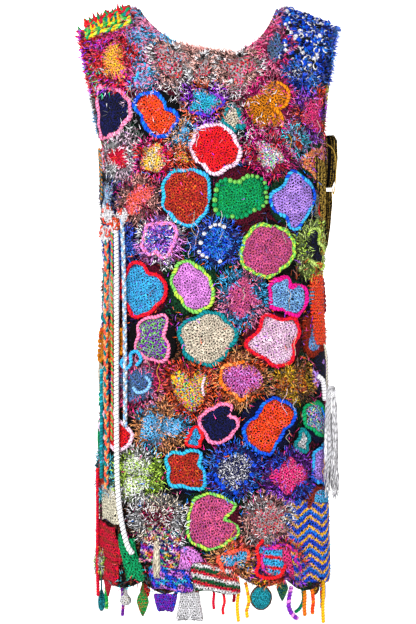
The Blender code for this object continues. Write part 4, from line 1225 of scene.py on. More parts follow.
def add_ground(side, slits):
    """The dark crochet that the motifs are sewn to: a closed shell with the gaps left open."""
    rim = border(side)
    points, loops = list(rim), [list(range(len(rim)))]
    for slit in slits:
        start = len(points)
        wide, high = slit.half_width, slit.half_height
        points += [(slit.s + wide * math.cos(a), slit.h + high * math.sin(a)) for a in circle(20)]
        loops.append(list(range(start, len(points))))
    for row, h in enumerate(np.arange(GROUND_STEP / 2, TOP_H, GROUND_STEP * 0.87)):
        offset = GROUND_STEP / 2 * (row % 2)
        for s in np.arange(-SPAN_BODY + GROUND_STEP / 2 + offset, SPAN_BODY, GROUND_STEP):
            if room(side, s, h) > 0.4 * GROUND_STEP and not in_slit(slits, s, h, PAST_SLIT):
                points.append((float(s), float(h)))
    edges = [pair for loop in loops for pair in zip(loop, loop[1:] + loop[:1])]
    spots = [Vector(point) for point in points]
    made, _, faces, sources, _, _ = delaunay_2d_cdt(spots, edges, [], 1, 1e-7)
    index, kept = [source[0] for source in sources], []
    for face in faces:
        centre = sum((made[i] for i in face), Vector((0, 0))) / 3
        if not in_slit(slits, *centre, IN_SLIT):
            kept.append([index[i] for i in face])
    s, h = np.array(points).T
    outer, inner = (on_form(side, s, h, out) for out in (CLOTH + FOOT_RISE, 0.0))
    rim_s, rim_h = np.array(rim).T
    on_seam = (np.abs(rim_s) > half_span(rim_h) - 1e-6) & (rim_h <= UNDERARM_H + 1e-6)
    on_seam |= rim_h > TOP_H - 1e-6
    for shell in (outer, inner):
        shell[: len(rim)][on_seam, 1] = GAP / 2 * (-1 if side == "front" else 1)
    count = len(points)
    rng = np.random.default_rng(SEEDS[side])
    ends = (-SPAN_BODY, SPAN_BODY), (0, TOP_H)
    patch_s, patch_h = (rng.uniform(*pair, GROUND_PATCHES) for pair in ends)
    nearest = np.hypot(s[:, None] - patch_s, h[:, None] - patch_h).argmin(axis=1)
    tints = np.array([yarn(name, 0.3) for name in GROUND_YARNS])
    dots = tints[(nearest + 3) % len(tints)]
    # Painted shade: the ground's colours darkened, its specks left as they are.
    tints[:, :3] *= GROUND_PAINTED_SHADE
    turned = slice(None, None, 1 if side == "front" else -1)
    top = np.array(kept)[:, turned]
    walls = np.array([(a, count + a, count + b, b) for a, b in edges])[:, turned]
    batch = Batch()
    batch.add(
        np.concatenate([outer, inner]),
        [top, count + top[:, ::-1], walls],
        np.tile(tints[nearest % len(tints)], (2, 1)),
        np.tile(dots, (2, 1)),
        np.tile(flat_stitches(s, h), (2, 1)),
    )
    piece = batch.build(f"{side}_ground", "crochet", "crochet_patchwork", f"{side}_panel")
    area = 0.5 * abs((rim_s * np.roll(rim_h, -1) - rim_h * np.roll(rim_s, -1)).sum())
    return piece, (2 * SPAN_BODY, TOP_H), float(area)


def flat_stitches(s, h):
    """Stitch places in rows over pattern points."""
    return np.stack([s / STITCH, h / STITCH, np.ones(len(s))], axis=-1)


# ---- the motifs ----
MOTIF_SIDES = 40
RING_STEP = 0.0048
FUZZY_CORE, CHAIN_CORE = 0.72, 0.93
CORE_FORMS = ("round", "leaf", "lobed", "heart", "round", "leaf", "heart")
# Painted shade under the fuzz: past its middle a disc takes a dark yarn darkened further, moved by
# UNDER_FUZZ towards the hair's colour.
UNDER_FUZZ = 0.26
DARK_RIMS = ("black", "navy", "black", "forest", "black", "maroon")
ROUND_TONE, SECTOR_TONE = 0.16, 0.12
BORDER_RADIUS = 0.0034
BORDER_STEP = 0.002
BORDER_LINK = 0.0062
BOBBLE_RADIUS, BOBBLE_OUT = 0.0042, 0.0015
BACK_SHARE = 0.66
CORE_HAIRS = 0.062
BARE_COVER, HAIRY_COVER = 0.08, 0.35
IN_SLIT, PAST_SLIT, NEAR_SLIT = 0.98, 1.5, 1.7
RIM_LENGTH, RIM_LIFT = (0.007, 0.0155), (0.15, 0.95)
CORE_LENGTH, CORE_LIFT = (0.006, 0.013), (0.3, 1.0)
LOOSE_LENGTH, LOOSE_LIFT = (0.009, 0.018), (0.35, 0.95)
EDGE_LENGTH, EDGE_LIFT = (0.012, 0.019), (0.25, 0.9)


def look_of(side, number, motif):
    """A motif's look: those of its edging in turn, in a mixed order."""
    looks = LOOKS[motif.edging]
    order = random.Random(SEEDS[side] + len(looks)).sample(range(len(looks)), len(looks))
    return looks[order[number % len(looks)]]


def motif_rise(motif, share):
    """How far a motif stands out from the ground at a share of its reach."""
    crest = CREST_RISE[motif.edging]
    inner = MOTIF_RISE + (crest - MOTIF_RISE) * smooth(share / CREST_SHARE)
    fall = 1 - smooth((share - CREST_SHARE) / (1 - CREST_SHARE))
    return np.where(share < CREST_SHARE, inner, FOOT_RISE + (crest - FOOT_RISE) * fall)


def core_reach(motif, look, angles):
    """How far a motif's middle reaches at each angle, as a share of its outline."""
    turn = angles - motif.turn
    wander = 0.065 * np.cos(2 * turn + motif.core) + 0.055 * np.cos(3 * turn + motif.trim)
    wander = wander + 0.04 * np.cos(5 * turn + motif.core * motif.trim)
    base = FUZZY_CORE if look.hair else CHAIN_CORE
    form = CORE_FORMS[(motif.core + motif.trim) % len(CORE_FORMS)]
    if form == "leaf":
        base = base * (0.62 + 0.42 * np.abs(np.cos(turn)) ** 1.6)
    elif form == "heart":
        base = base * (1.04 - 0.52 * np.exp(-((turn % TURN - math.pi) ** 2) / 0.09))
    elif form == "lobed":
        base = base * (0.91 + 0.14 * np.cos(4 * turn))
    return np.minimum(base + wander, 0.95)


def motif_place(motif, size, angles):
    """The pattern points round a motif's centre at angles, size away."""
    return motif.s + size * np.cos(angles), motif.h + size * np.sin(angles)


def motif_disc(batch, side, motif, reaches, look, rng):
    """A motif's middle and rim, raised over the ground."""
    count, radius = len(reaches), float(reaches.mean())
    angles = circle(count)
    rings = max(5, round(radius / RING_STEP))
    shares = np.linspace(0, 1, rings + 1)[1:][:, None]
    out = CLOTH + motif_rise(motif, shares) + 0.0014 * np.sin(5 * angles + motif.turn) * shares**2
    points = on_form(side, *motif_place(motif, shares * reaches, angles), out).reshape(-1, 3)
    hubs = [on_form(side, motif.s, motif.h, CLOTH + rise) for rise in (MOTIF_RISE, 0)]
    turn, scale = angles - motif.turn, radius / STITCH * shares
    stitch = np.zeros((rings * count + 2, 3))
    stitch[:-2, 0] = (scale * np.cos(turn)).ravel()
    stitch[:-2, 1] = (scale * np.sin(turn)).ravel()
    stitch[:, 2] = motif.trim % 5 == 0
    # Painted shade under the fuzz: a dark yarn darkened to 0.4, moved towards the hair's colour where
    # there is eyelash.
    rim = yarn(DARK_RIMS[motif.core % len(DARK_RIMS)]) * [0.4, 0.4, 0.4, 1.0]
    if look.hair:
        rim = rim + UNDER_FUZZ * (yarn(look.hair) - rim)
    rim = np.tile(rim, (len(stitch), 1))
    rim[:, 3] = [*(shares / core_reach(motif, look, angles)).ravel(), 0.0, 2.0]
    total, around = rings * count, np.arange(count)
    faces = [
        grid_faces(rings, count)[:, ::-1],
        fan(total, around),
        fan(total + 1, total - count + around, inwards=True),
    ]
    if side == "back":
        faces = [block[:, ::-1] for block in faces]
    tone = 1 + ROUND_TONE * np.sin(14 * shares + motif.core)
    tone = tone + SECTOR_TONE * np.sin(3 * angles + motif.trim)
    core = np.tile(yarn(look.core, rng.random()), (len(stitch), 1))
    core[:-2, :3] *= np.clip(tone, 0.5, 1.4).reshape(-1, 1)
    batch.add(np.concatenate([points, hubs]), faces, np.clip(core, 0, 0.98),
              yarn(look.second, look.mixed), stitch, rim)


def ring_path(motif, reaches, share, step):
    """Evenly spaced pattern points round a motif at a share of its reach."""
    loop = motif_place(motif, share * reaches, circle(len(reaches)))
    return resampled(np.transpose(loop), step, closed=True)


def motif_border(batch, side, motif, reaches, look, rng):
    """The chain, rope or bobbles round a motif's middle."""
    angles = circle(len(reaches))
    share = core_reach(motif, look, angles)
    crest = CLOTH + float(motif_rise(motif, float(share.mean())))
    if motif.edging == "bobble":
        loop = ring_path(motif, reaches, share, 1.9 * BOBBLE_RADIUS)
        centres = on_form(side, *loop.T, crest + BOBBLE_OUT)
        names = [look.border if rng.random() < 0.6 else look.border_second for _ in loop]
        sizes = BOBBLE_RADIUS * rng.uniform(0.8, 1.15, len(loop))
        balls(batch, centres, sizes, outward(side, *loop.T), [yarn(one, rng.random()) for one in names])
        return
    waver = np.cos((9 + motif.core % 5) * angles + motif.trim)
    waver = waver + 0.8 * np.cos((5 + motif.trim % 4) * angles)
    loop = ring_path(motif, reaches, share + 0.022 * waver, BORDER_STEP)
    path = on_form(side, *loop.T, crest + 0.0008 + 0.0016 * np.sin(TURN * np.arange(len(loop)) / 17))
    out = outward(side, *loop.T)
    if motif.trim % 4 == 1:
        twisted(batch, path, 1.12 * BORDER_RADIUS, 2, 0.011, 5,
                (look.border, look.border_second), facing=out, closed=True)
        return
    size = BORDER_RADIUS * rng.uniform(0.85, 1.2)
    whole = not look.hair
    if not whole:
        keep = np.arange(len(path)) < rng.uniform(0.35, 0.8) * len(path)
        turned = int(rng.integers(len(path)))
        path, out = (np.roll(rows, turned, axis=0)[keep] for rows in (path, out))
    swell = 1 + 0.16 * np.sin(TURN * np.arange(len(path)) / 23 + motif.core)
    sizes = linked(path, size, BORDER_LINK, closed=whole) * swell
    if whole and motif.trim % 4 == 3:
        spots = np.arange(0, len(path), 9)
        balls(batch, path[spots], np.full(len(spots), 0.8 * size), out[spots],
              [yarn(look.border_second, rng.random())] * len(spots))
    tube(batch, path, sizes, 5, yarn(look.border, rng.random()), yarn(look.border_second, 0.35),
         facing=out, closed=whole, link=BORDER_LINK, flat=0.9)


def tinted(rng, count, one, other, dark=0.0, share=0.65):
    """A yarn's hairs: a share of one colour, the rest the other, each lighter or darker."""
    pick = rng.random((count, 1)) < np.reshape(share, (-1, 1))
    colours = np.where(pick, yarn(one), yarn(other))
    colours[:, :3] = np.clip(colours[:, :3] * rng.uniform(0.75, 1.25, (count, 1)), 0, 0.95)
    if dark:
        colours = np.where(rng.random((count, 1)) < dark, yarn("black"), colours)
    return colours


def motif_fuzz(fuzz, side, motif, reaches, look, rng, density):
    """Eyelash round a motif's rim, out over its neighbours and in over its middle."""

    def spread(count):
        angle = rng.uniform(0, TURN, count)
        reach = np.interp(angle, circle(len(reaches)), reaches, period=TURN)
        return angle, reach, core_reach(motif, look, angle)

    count = int(TURN * reaches.mean() / MM * density)
    angle, reach, core = spread(count)
    share = core - 0.04 + (1.06 - core) * rng.random(count)
    s, h = motif_place(motif, share * reach, angle)
    inward = rng.random(count) < (0.3 if look.cover > BARE_COVER else 0.0) + 0.25 * look.cover
    way = angle + np.where(inward, math.pi, 0.0) + rng.normal(0, 0.55, count)
    length, lift = rng.uniform(*RIM_LENGTH, count), rng.uniform(*RIM_LIFT, count)
    out = CLOTH + motif_rise(motif, np.minimum(share, 1.0)) - 0.0008
    mix = 0.62 + 0.9 * np.sin(angle * (2 + motif.core % 3) + motif.trim)
    colours = tinted(rng, count, look.hair, look.hair_second, dark=0.12, share=mix)
    fuzz.add(side, s, h, out, way, length, lift, colours)
    if look.cover > HAIRY_COVER:
        area = math.pi * (FUZZY_CORE * reaches.mean() / MM) ** 2
        count = int(area * CORE_HAIRS * look.cover * density)
        angle, reach, core = spread(count)
        s, h = motif_place(motif, core * np.sqrt(rng.random(count)) * reach, angle)
        way = rng.uniform(0, TURN, count)
        length, lift = rng.uniform(*CORE_LENGTH, count), rng.uniform(*CORE_LIFT, count)
        mixed = rng.random((count, 1)) < 0.5
        pairs = (look.hair, look.hair_second), (look.core, look.second)
        colours = np.where(mixed, *[tinted(rng, count, *pair) for pair in pairs])
        fuzz.add(side, s, h, CLOTH + MOTIF_RISE, way, length, lift, colours)


# Places with a look of their own: where they lie on the pattern, front and back, and how they look.
ZONES = table("Zone", "name s_low s_high h_low upright " + LOOK, """
left_shoulder -0.24 -0.115 0.82 1 peach gold 0.45 gold coral scarlet magenta 0.1
right_shoulder 0.115 0.24 0.86 0 navy white 0.3 royal navy royal blue 0.8
neck_left -0.115 -0.062 0.835 0 pale_blue pink 0.3 sky pink sky pink 0.6
neck_middle -0.062 0.062 0.8 0 grey crimson 0.42 dusty_pink maroon blush white 0.05
neck_right 0.062 0.115 0.8 0 slate denim 0.3 hot_pink pink hot_pink pink 0.05
""")

STRAY_HAIRS = 0.06

# Fuzz between the motifs: where it grows on the pattern, how many hairs, and its yarns.
BETWEEN = table("Between", "name s_low s_high h_low h_high count one other", """
hem_edge_left -0.238 -0.08 0.004 0.05 500 crimson teal
hem_edge_middle -0.08 0.06 0.004 0.04 450 pale_pink purple
hem_edge_right 0.05 0.15 0.004 0.06 600 peach gold
hem -0.238 0.238 0.04 0.2 1000 magenta blue
thigh -0.238 0.238 0.22 0.44 1200 magenta terracotta
hip -0.238 0.238 0.4 0.56 1100 purple terracotta
waist -0.238 0.238 0.54 0.7 1000 navy blue
chest -0.15 0.12 0.7 0.83 1700 white pale_pink
right_ribs 0.08 0.238 0.7 0.83 700 orchid pink
ribs -0.238 0.238 0.64 0.76 600 magenta purple
neck_left -0.13 -0.05 0.845 0.99 1100 sky pink
neck_middle -0.075 0.045 0.846 0.88 500 blush dusty_pink
neck_right 0.03 0.13 0.815 0.99 1600 hot_pink pink
left_shoulder -0.21 -0.12 0.82 0.925 1100 scarlet purple
left_armhole -0.215 -0.17 0.78 0.88 400 grey emerald
right_shoulder 0.12 0.21 0.85 1.0 1000 royal navy
""")


def between_fuzz(fuzz, side, patches, bare, rng):
    """Loose fuzz over the places that the table names, and little of it on the bare discs."""
    for row in BETWEEN:
        count = round(row.count * (1.0 if side == "front" else BACK_SHARE))
        s, h = rng.uniform(row.s_low, row.s_high, count), rng.uniform(row.h_low, row.h_high, count)
        keep = np.array([room(side, a, b) > 0.001 and not on_patch(patches, a, b) for a, b in zip(s, h)])
        for disc_s, disc_h, radius in bare:
            on_disc = np.hypot(s - disc_s, h - disc_h) < radius
            keep &= ~on_disc | (rng.random(count) < STRAY_HAIRS)
        s, h, count = s[keep], h[keep], int(keep.sum())
        mix = 0.55 + 0.9 * np.sin(105 * s + 2) * np.sin(88 * h)
        colours = tinted(rng, count, row.one, row.other, dark=0.09, share=mix)
        way = rng.uniform(0, TURN, count)
        length, lift = rng.uniform(*LOOSE_LENGTH, count), rng.uniform(*LOOSE_LIFT, count)
        fuzz.add(side, s, h, CLOTH + FOOT_RISE, way, length, lift, colours)


# Fuzz that stands out past the cut edges: where along them, how many hairs, and its yarns.
EDGE_FUZZ = table("EdgeFuzz", "name edge low high count one other", """
neck_left neck -0.113 -0.05 260 sky pink
neck_middle neck -0.05 0.04 380 blush dusty_pink
neck_right neck 0.055 0.113 190 hot_pink pink
right_shoulder right 0.85 1.0 300 royal blue
left_shoulder left 0.83 0.95 200 crimson purple
left_armhole left 0.76 0.83 160 pale_blue grey
""")


def edge_fuzz(fuzz, side, rng):
    """Hairs along the neck and the armholes that stick out past them."""
    for row in EDGE_FUZZ:
        along, inside = rng.uniform(row.low, row.high, row.count), rng.uniform(0.0005, 0.004, row.count)
        if row.edge == "neck":
            s, h = along, neck_line(side, along) - inside
            way = math.pi / 2 - 1.1 * along / NECK_SPAN
        else:
            sign = 1 if row.edge == "right" else -1
            s, h = sign * (half_span(along) - inside), along
            way = 0.0 if sign > 0 else math.pi
        way = way + rng.normal(0, 0.6, row.count)
        colours = tinted(rng, row.count, row.one, row.other, share=0.5 + 0.6 * np.sin(90 * along))
        length, lift = rng.uniform(*EDGE_LENGTH, row.count), rng.uniform(*EDGE_LIFT, row.count)
        fuzz.add(side, s, h, CLOTH + FOOT_RISE, way, length, lift, colours)


# Plain knitted swatches sewn over the patchwork, with their stripes.
PATCH = "name side s_low s_high h_low h_high stripes yarns*"
PATCHES = table("Patch", PATCH, """
chevron front 0.122 0.232 0.012 0.146 chevron royal blue gold
tweed front -0.118 -0.052 0.046 0.108 tweed crimson teal gold navy pink grass purple white royal
striped front -0.034 0.04 0.004 0.05 rows forest white crimson
ivory front -0.206 -0.15 0.112 0.172 plain ivory
oatmeal front -0.226 -0.192 0.3 0.372 plain oatmeal
emerald front -0.228 -0.2 0.196 0.276 plain emerald
brick front -0.222 -0.152 0.05 0.108 rows crimson brick crimson
crimson front -0.2 -0.152 0.012 0.05 rows crimson crimson brick
low_emerald front -0.148 -0.12 0.02 0.092 plain emerald
hem_tweed front -0.104 -0.036 0.006 0.044 tweed royal orchid navy turquoise purple
sky front 0.072 0.112 0.03 0.08 rows sky scarlet sky
ribbed front 0.19 0.238 0.607 0.71 ribs mustard black
ribbed_low front 0.199 0.238 0.553 0.606 ribs mustard black
back_tweed back 0.03 0.1 0.04 0.104 tweed magenta navy lime sky brick white
back_rows back -0.18 -0.11 0.046 0.116 rows teal gold maroon
back_ivory back 0.14 0.2 0.3 0.37 plain ivory
""")
COVERED = table("Patch", PATCH, "side_strips front 0.186 0.238 0.300 0.548 plain")
PATCH_STEP = 0.0025
PATCH_RISE = 0.008
PATCH_WAVE = 0.003
PATCH_LEAN = 0.018
PATCH_FALL, PATCH_RIPPLE = 0.0022, 0.0006
CHEVRON_WIDE, CHEVRON_HIGH, CHEVRON_ROW = 0.046, 0.017, 0.0052
TWEED_ROW, TWEED_LONG, STRIPE_ROW = 0.0032, 0.009, 0.0058
RIB_PITCH, RIB_RISE = 0.0072, 0.0014


def on_patch(patches, s, h):
    """Whether a pattern point is covered by a swatch."""
    return any(one.s_low < s < one.s_high and one.h_low < h < one.h_high for one in patches)


def stripe(patch, s, h):
    """Which of a swatch's yarns is at each of its points."""
    if patch.stripes == "chevron":
        zig = np.abs(2 * ((s / CHEVRON_WIDE) % 1.0) - 1)
        row = np.floor((h + CHEVRON_HIGH * zig) / CHEVRON_ROW).astype(int)
        return np.array([0, 1, 2, 0, 0, 2])[row % 6]
    if patch.stripes == "tweed":
        row = np.floor((h + 0.55 * s) / TWEED_ROW).astype(int)
        part = np.floor(s / TWEED_LONG + 0.37 * row).astype(int)
        return (row * 5 + part * 3 + row * part) % len(patch.yarns)
    if patch.stripes == "ribs":
        return (np.sin(TURN * s / RIB_PITCH) < 0.1).astype(int)
    if patch.stripes == "rows":
        return np.floor((h + 0.2 * s) / STRIPE_ROW).astype(int) % 3
    return np.zeros(len(s), int)


def add_swatch(batch, patch):
    """A flat knitted swatch over the motifs, closed underneath."""
    step = PATCH_STEP / 2 if patch.stripes == "ribs" else PATCH_STEP
    wide, high = patch.s_high - patch.s_low, patch.h_high - patch.h_low
    across, up = max(4, round(wide / step)), max(4, round(high / PATCH_STEP))
    a, b = np.meshgrid(np.linspace(0, 1, across + 1), np.linspace(0, 1, up + 1))
    lean = PATCH_LEAN * math.sin(90 * patch.s_low) * (b - 0.5)
    s = patch.s_low + wide * a + lean + PATCH_WAVE * np.sin(5 * b + 1)
    h = (patch.h_low + high * b + PATCH_WAVE * np.sin(6 * a) + 0.5 * lean * (a - 0.5)).ravel()
    s = np.clip(s, -SPAN_BODY + EDGE_MARGIN, SPAN_BODY - EDGE_MARGIN).ravel()
    inside = np.minimum(np.minimum(a, 1 - a), np.minimum(b, 1 - b)).ravel()
    rim = 1 - np.clip(5 * inside, 0, 1) ** 0.5
    out = CLOTH + PATCH_RISE - PATCH_FALL * rim + PATCH_RIPPLE * np.sin(300 * s)
    if patch.stripes == "ribs":
        out = out + RIB_RISE * np.sin(TURN * s / RIB_PITCH)
    points = on_form(patch.side, s, h, out)
    hub = on_form(patch.side, s.mean(), h.mean(), CLOTH)
    index = np.arange(len(s)).reshape(up + 1, across + 1)
    ring = np.concatenate([index[0], index[1:, -1], index[-1, :-1][::-1], index[1:-1, 0][::-1]])
    faces = [grid_faces(up + 1, across + 1, closed=False), fan(len(s), ring, inwards=True)]
    if patch.side == "back":
        faces = [block[:, ::-1] for block in faces]
    spread = np.r_[: len(s), 0]
    tints = np.array([yarn(name) for name in patch.yarns])[stripe(patch, s, h)][spread]
    batch.add(np.concatenate([points, [hub]]), faces, tints, tints * [0.6, 0.6, 0.6, 0.3],
              flat_stitches(s, h)[spread])


# The bobbles of the right shoulder and the ropes of the left one.
SHOULDER_BOBBLES = (0.124, 0.203, 0.868, 0.994)
SHOULDER_PITCH, SHOULDER_JITTER = 0.0072, 0.0024
SHOULDER_OUT, ROPE_OUT = 0.007, 0.0085
SHOULDER_ROPES = table("Rope", "h radius yarns*", """
0.992 0.0054 crimson green maroon
0.98 0.0052 crimson brick scarlet
0.968 0.0052 scarlet emerald crimson
0.955 0.0046 emerald crimson teal
0.943 0.0046 grass gold green
0.931 0.0044 emerald lime gold
""")
SHOULDER_ENDS = (-0.203, -0.122)
POINTS_ON_ROPE = 26


def shoulder_bobbles(batch, side, rng):
    """Loops of navy, white and royal yarn over the right shoulder."""
    s_low, s_high, h_low, h_high = SHOULDER_BOBBLES
    across, up = (np.arange(*ends, SHOULDER_PITCH) for ends in ((s_low, s_high), (h_low, h_high)))
    s, h = (rows.ravel() + rng.normal(0, SHOULDER_JITTER, rows.size) for rows in np.meshgrid(across, up))
    keep = np.array([room(side, a, b) > 0.004 for a, b in zip(s, h)])
    s, h, count = s[keep], h[keep], int(keep.sum())
    centres = on_form(side, s, h, CLOTH + SHOULDER_OUT + rng.uniform(-0.001, 0.003, count))
    clump = np.sin(210 * s + 1) * np.sin(170 * h + 2) + rng.normal(0, 0.45, count)
    darker = rng.choice(["navy", "royal", "black", "blue"], count, p=[0.5, 0.2, 0.22, 0.08])
    names = np.where(clump > 0.62, "white", darker)
    out = outward(side, s, h)
    balls(batch, centres, rng.uniform(0.0026, 0.005, count), out,
          [yarn(name, rng.random()) for name in names])
    for k in range(0, count, 2):
        name = "white" if rng.random() < 0.4 else "royal"
        curl(batch, centres[k] + 0.001 * out[k], out[k], yarn(name), rng)


def spike(batch, root, away, name, rng):
    """A short pointed end of crocheted yarn."""
    run = np.linspace(0, rng.uniform(0.009, 0.015), 4)[:, None]
    tube(batch, root + run * away, [0.003, 0.0026, 0.0018, 0.0006], 5, yarn(name),
         facing=(0.1, -1, 0.2), link=0.003)


def shoulder_ropes(batch, side, rng):
    """Twisted ropes along the left shoulder, with pointed ends standing up from them."""
    for row, rope in enumerate(SHOULDER_ROPES):
        s = np.linspace(*SHOULDER_ENDS, 60)
        h = rope.h + 0.002 * np.sin(90 * s + row) + 0.0014 * np.sin(230 * s + 2 * row)
        path, out = on_form(side, s, h, CLOTH + ROPE_OUT), outward(side, s, h)
        twisted(batch, path, rope.radius, 3, 0.016 + 0.002 * (row % 3), 6, rope.yarns, facing=out)
        for k in range(3, 57, 6) if row % 2 == 0 else ():
            away = unit(out[k] + rng.normal(0, 0.4, 3) + [0, 0, 0.8])
            spike(batch, path[k], away, rope.yarns[int(rng.integers(2))], rng)


END_YARNS = ("ivory", "white", "gold", "oatmeal", "pale_pink", "brown")
YARN_ENDS = 34
END_RADIUS, END_OUT = 0.0005, 0.0105


def yarn_ends(batch, side, patches, rng):
    """Loose ends of thin yarn that lie on the cloth and fall down it."""
    down = np.linspace(0, 1, 12)
    for _ in range(YARN_ENDS):
        s, h = rng.uniform(-0.2, 0.2), rng.uniform(0.1, 0.84)
        if room(side, s, h) < 0.03 or on_patch(patches, s, h):
            continue
        length, sway = rng.uniform(0.02, 0.05), rng.uniform(-0.008, 0.008)
        line = s + sway * np.sin(3 * down) + 0.002 * np.sin(9 * down + s * 50), h - length * down
        path = on_form(side, *line, CLOTH + END_OUT + 0.002 * np.sin(6 * down))
        name = END_YARNS[int(rng.integers(len(END_YARNS)))]
        tube(batch, path, END_RADIUS, 4, yarn(name), facing=outward(side, *line), link=0.003)


# Small chains and yarns sewn to the front, each given as pattern points and heights over them.
TRIMS = table("Trim", "name radius yarn route*", """
sky_curl_upper 0.0032 sky -0.142,0.386,0.012 -0.15,0.374,0.014 -0.142,0.364,0.014 -0.133,0.372,0.015
 -0.134,0.388,0.014 -0.124,0.392,0.014 -0.117,0.38,0.014 -0.125,0.37,0.012
sky_curl_lower 0.003 pale_blue -0.11,0.352,0.012 -0.102,0.342,0.014 -0.108,0.33,0.014
 -0.122,0.326,0.014 -0.13,0.334,0.012
pink_chain_low 0.0022 pale_pink -0.014,0.352,0.012 -0.018,0.338,0.014 -0.016,0.322,0.012
crimson_edge 0.003 scarlet 0.08,0.088,0.012 0.07,0.074,0.013 0.073,0.052,0.013 0.069,0.034,0.013
 0.086,0.026,0.013 0.104,0.03,0.013 0.113,0.046,0.013
ivory_strand_outer 0.0011 white 0.205,0.4,0.012 0.209,0.38,0.014 0.206,0.35,0.014 0.21,0.318,0.013
ivory_strand_inner 0.0011 ivory 0.2,0.404,0.012 0.203,0.376,0.014 0.2,0.346,0.014 0.204,0.306,0.013
blue_loop 0.0012 blue 0.186,0.3,0.012 0.192,0.284,0.014 0.198,0.268,0.014 0.194,0.256,0.012
white_tube 0.0044 white 0.178,0.352,0.012 0.186,0.344,0.015 0.19,0.328,0.015 0.194,0.312,0.013
""")
TAN_LOOP = (
    (0.196, -0.03, -0.222), (0.207, -0.034, -0.232), (0.212, -0.034, -0.252), (0.2115, -0.034, -0.28),
    (0.208, -0.034, -0.306), (0.206, -0.034, -0.296),
)


def loose_trims(batch, rng):
    """The small chains of the table, and the thin yarn that loops beside the right armhole."""
    for one in TRIMS:
        line = resampled(smooth_path(one.route, 6), 0.0012)
        path = on_form("front", *line.T)
        sizes = linked(path, one.radius, 0.005)
        tube(batch, path, sizes, 6, yarn(one.yarn, rng.random()),
             facing=outward("front", *line.T[:2]), link=0.005)
    line = resampled(smooth_path(TAN_LOOP, 8), 0.0015)
    tube(batch, line, 0.001, 5, yarn("mustard"), facing=(0.3, -1, 0), link=0.004)


def add_patchwork(side, settings):
    """One panel: its ground, its motifs, their borders and their fuzz."""
    slits, patches, covered = (
        [one for one in rows if one.side == side] for rows in (SLITS, PATCHES, PATCHES + COVERED)
    )
    ground, flat, area = add_ground(side, slits)
    motifs = scatter(side)
    rng = np.random.default_rng(SEEDS[side] * 7)
    discs, borders, swatches, trims = Batch(), Batch(), Batch(), Batch()
    fuzzes = {"low": Fuzz(), "high": Fuzz(), "loose": Fuzz()}
    middle = sorted(motif.h for motif in motifs)[len(motifs) // 2]
    counts = {kind: 0 for kind in LOOKS}
    density = settings.density * (1.0 if side == "front" else BACK_SHARE)
    bare = []
    for motif in motifs:
        look = look_of(side, counts[motif.edging], motif)
        counts[motif.edging] += 1
        for zone in ZONES:
            if zone.s_low < motif.s < zone.s_high and motif.h > zone.h_low:
                look = zone
                if zone.upright:
                    motif = motif._replace(turn=math.pi / 2, core=0, trim=1)
        for grow in (FILLED_REACH, REACH):
            reaches = outline(side, motif, motifs, MOTIF_SIDES, CELL_MARGIN, grow)
            ring = ring_path(motif, reaches, 1.0, 0.004)
            in_gap = any(in_slit(slits, s, h, NEAR_SLIT) for s, h in ring)
            if not in_gap:
                break
        if in_gap:
            continue
        motif_disc(discs, side, motif, reaches, look, rng)
        if on_patch(covered, motif.s, motif.h):
            continue
        if not look.hair or motif.trim % 3 == 0:
            motif_border(borders, side, motif, reaches, look, rng)
        clear = 0.95 if not look.hair else 0.8 if look.cover < BARE_COVER else 0.6
        bare.append((motif.s, motif.h, clear * float(np.mean(reaches))))
        if look.hair:
            height = "low" if motif.h < middle else "high"
            motif_fuzz(fuzzes[height], side, motif, reaches, look, rng, density)
    between_fuzz(fuzzes["loose"], side, covered, bare, rng)
    edge_fuzz(fuzzes["loose"], side, rng)
    for patch in patches:
        add_swatch(swatches, patch)
    shoulder_bobbles(trims, side, rng)
    shoulder_ropes(trims, side, rng)
    yarn_ends(trims, side, patches, rng)
    if side == "front":
        loose_trims(trims, rng)
    pieces = [
        batch.build(f"{side}_{name}", kind, "crochet_patchwork")
        for batch, name, kind in ((discs, "motifs", "crochet"), (borders, "borders", "rope"),
                                  (swatches, "swatches", "crochet"), (trims, "shoulders", "rope"))
    ]
    pieces += [fuzz.build(f"{side}_fuzz_{height}", rng, settings) for height, fuzz in fuzzes.items()]


# ---- the edgings ----
NECK_CORD, LEFT_ROPE, RIGHT_CORD = 0.003, 0.0048, 0.0042
EDGING_CLEAR = 0.0005
LEAST_MITER = 0.45
ARMHOLE_STEPS, NECK_STEPS = 10, 18
EDGE_STEP = 0.0018


def edge_path(stops, radius, turn):
    """The centres of a cord laid along a cut edge, and the way it faces at each."""
    places = [Vector(on_form(side, s, h, CLOTH / 2)) for side, s, h in stops]
    normals = [Vector(outward(side, s, h)) for side, s, h in stops]
    centres = []
    for i, (place, normal) in enumerate(zip(places, normals)):
        runs = place - places[i - 1], places[(i + 1) % len(places)] - place
        clear = [normal.cross(run.normalized()).normalized() * turn for run in runs]
        away = (clear[0] + clear[1]).normalized()
        miter = 1 / max(LEAST_MITER, away.dot(clear[0]))
        centres.append(place + away * (radius + EDGING_CLEAR) * miter)
    even = resampled(np.hstack([centres, normals]), EDGE_STEP, closed=True)
    return even[:, :3], unit(even[:, 3:])


def armhole_stops(sign):
    """The armhole's edge as stops, up the front and down the back."""
    rises = armhole_rises(ARMHOLE_STEPS)
    return [
        (side, sign * float(half_span(h)), h)
        for side, heights in (("front", rises), ("back", rises[-2:0:-1])) for h in heights
    ]


def neck_stops():
    """The neck's edge as stops, along the front and back again."""
    there, again = (neck_stations(side, NECK_STEPS) for side in ("front", "back"))
    return [("front", *place) for place in there] + [("back", *place) for place in again[-2:0:-1]]


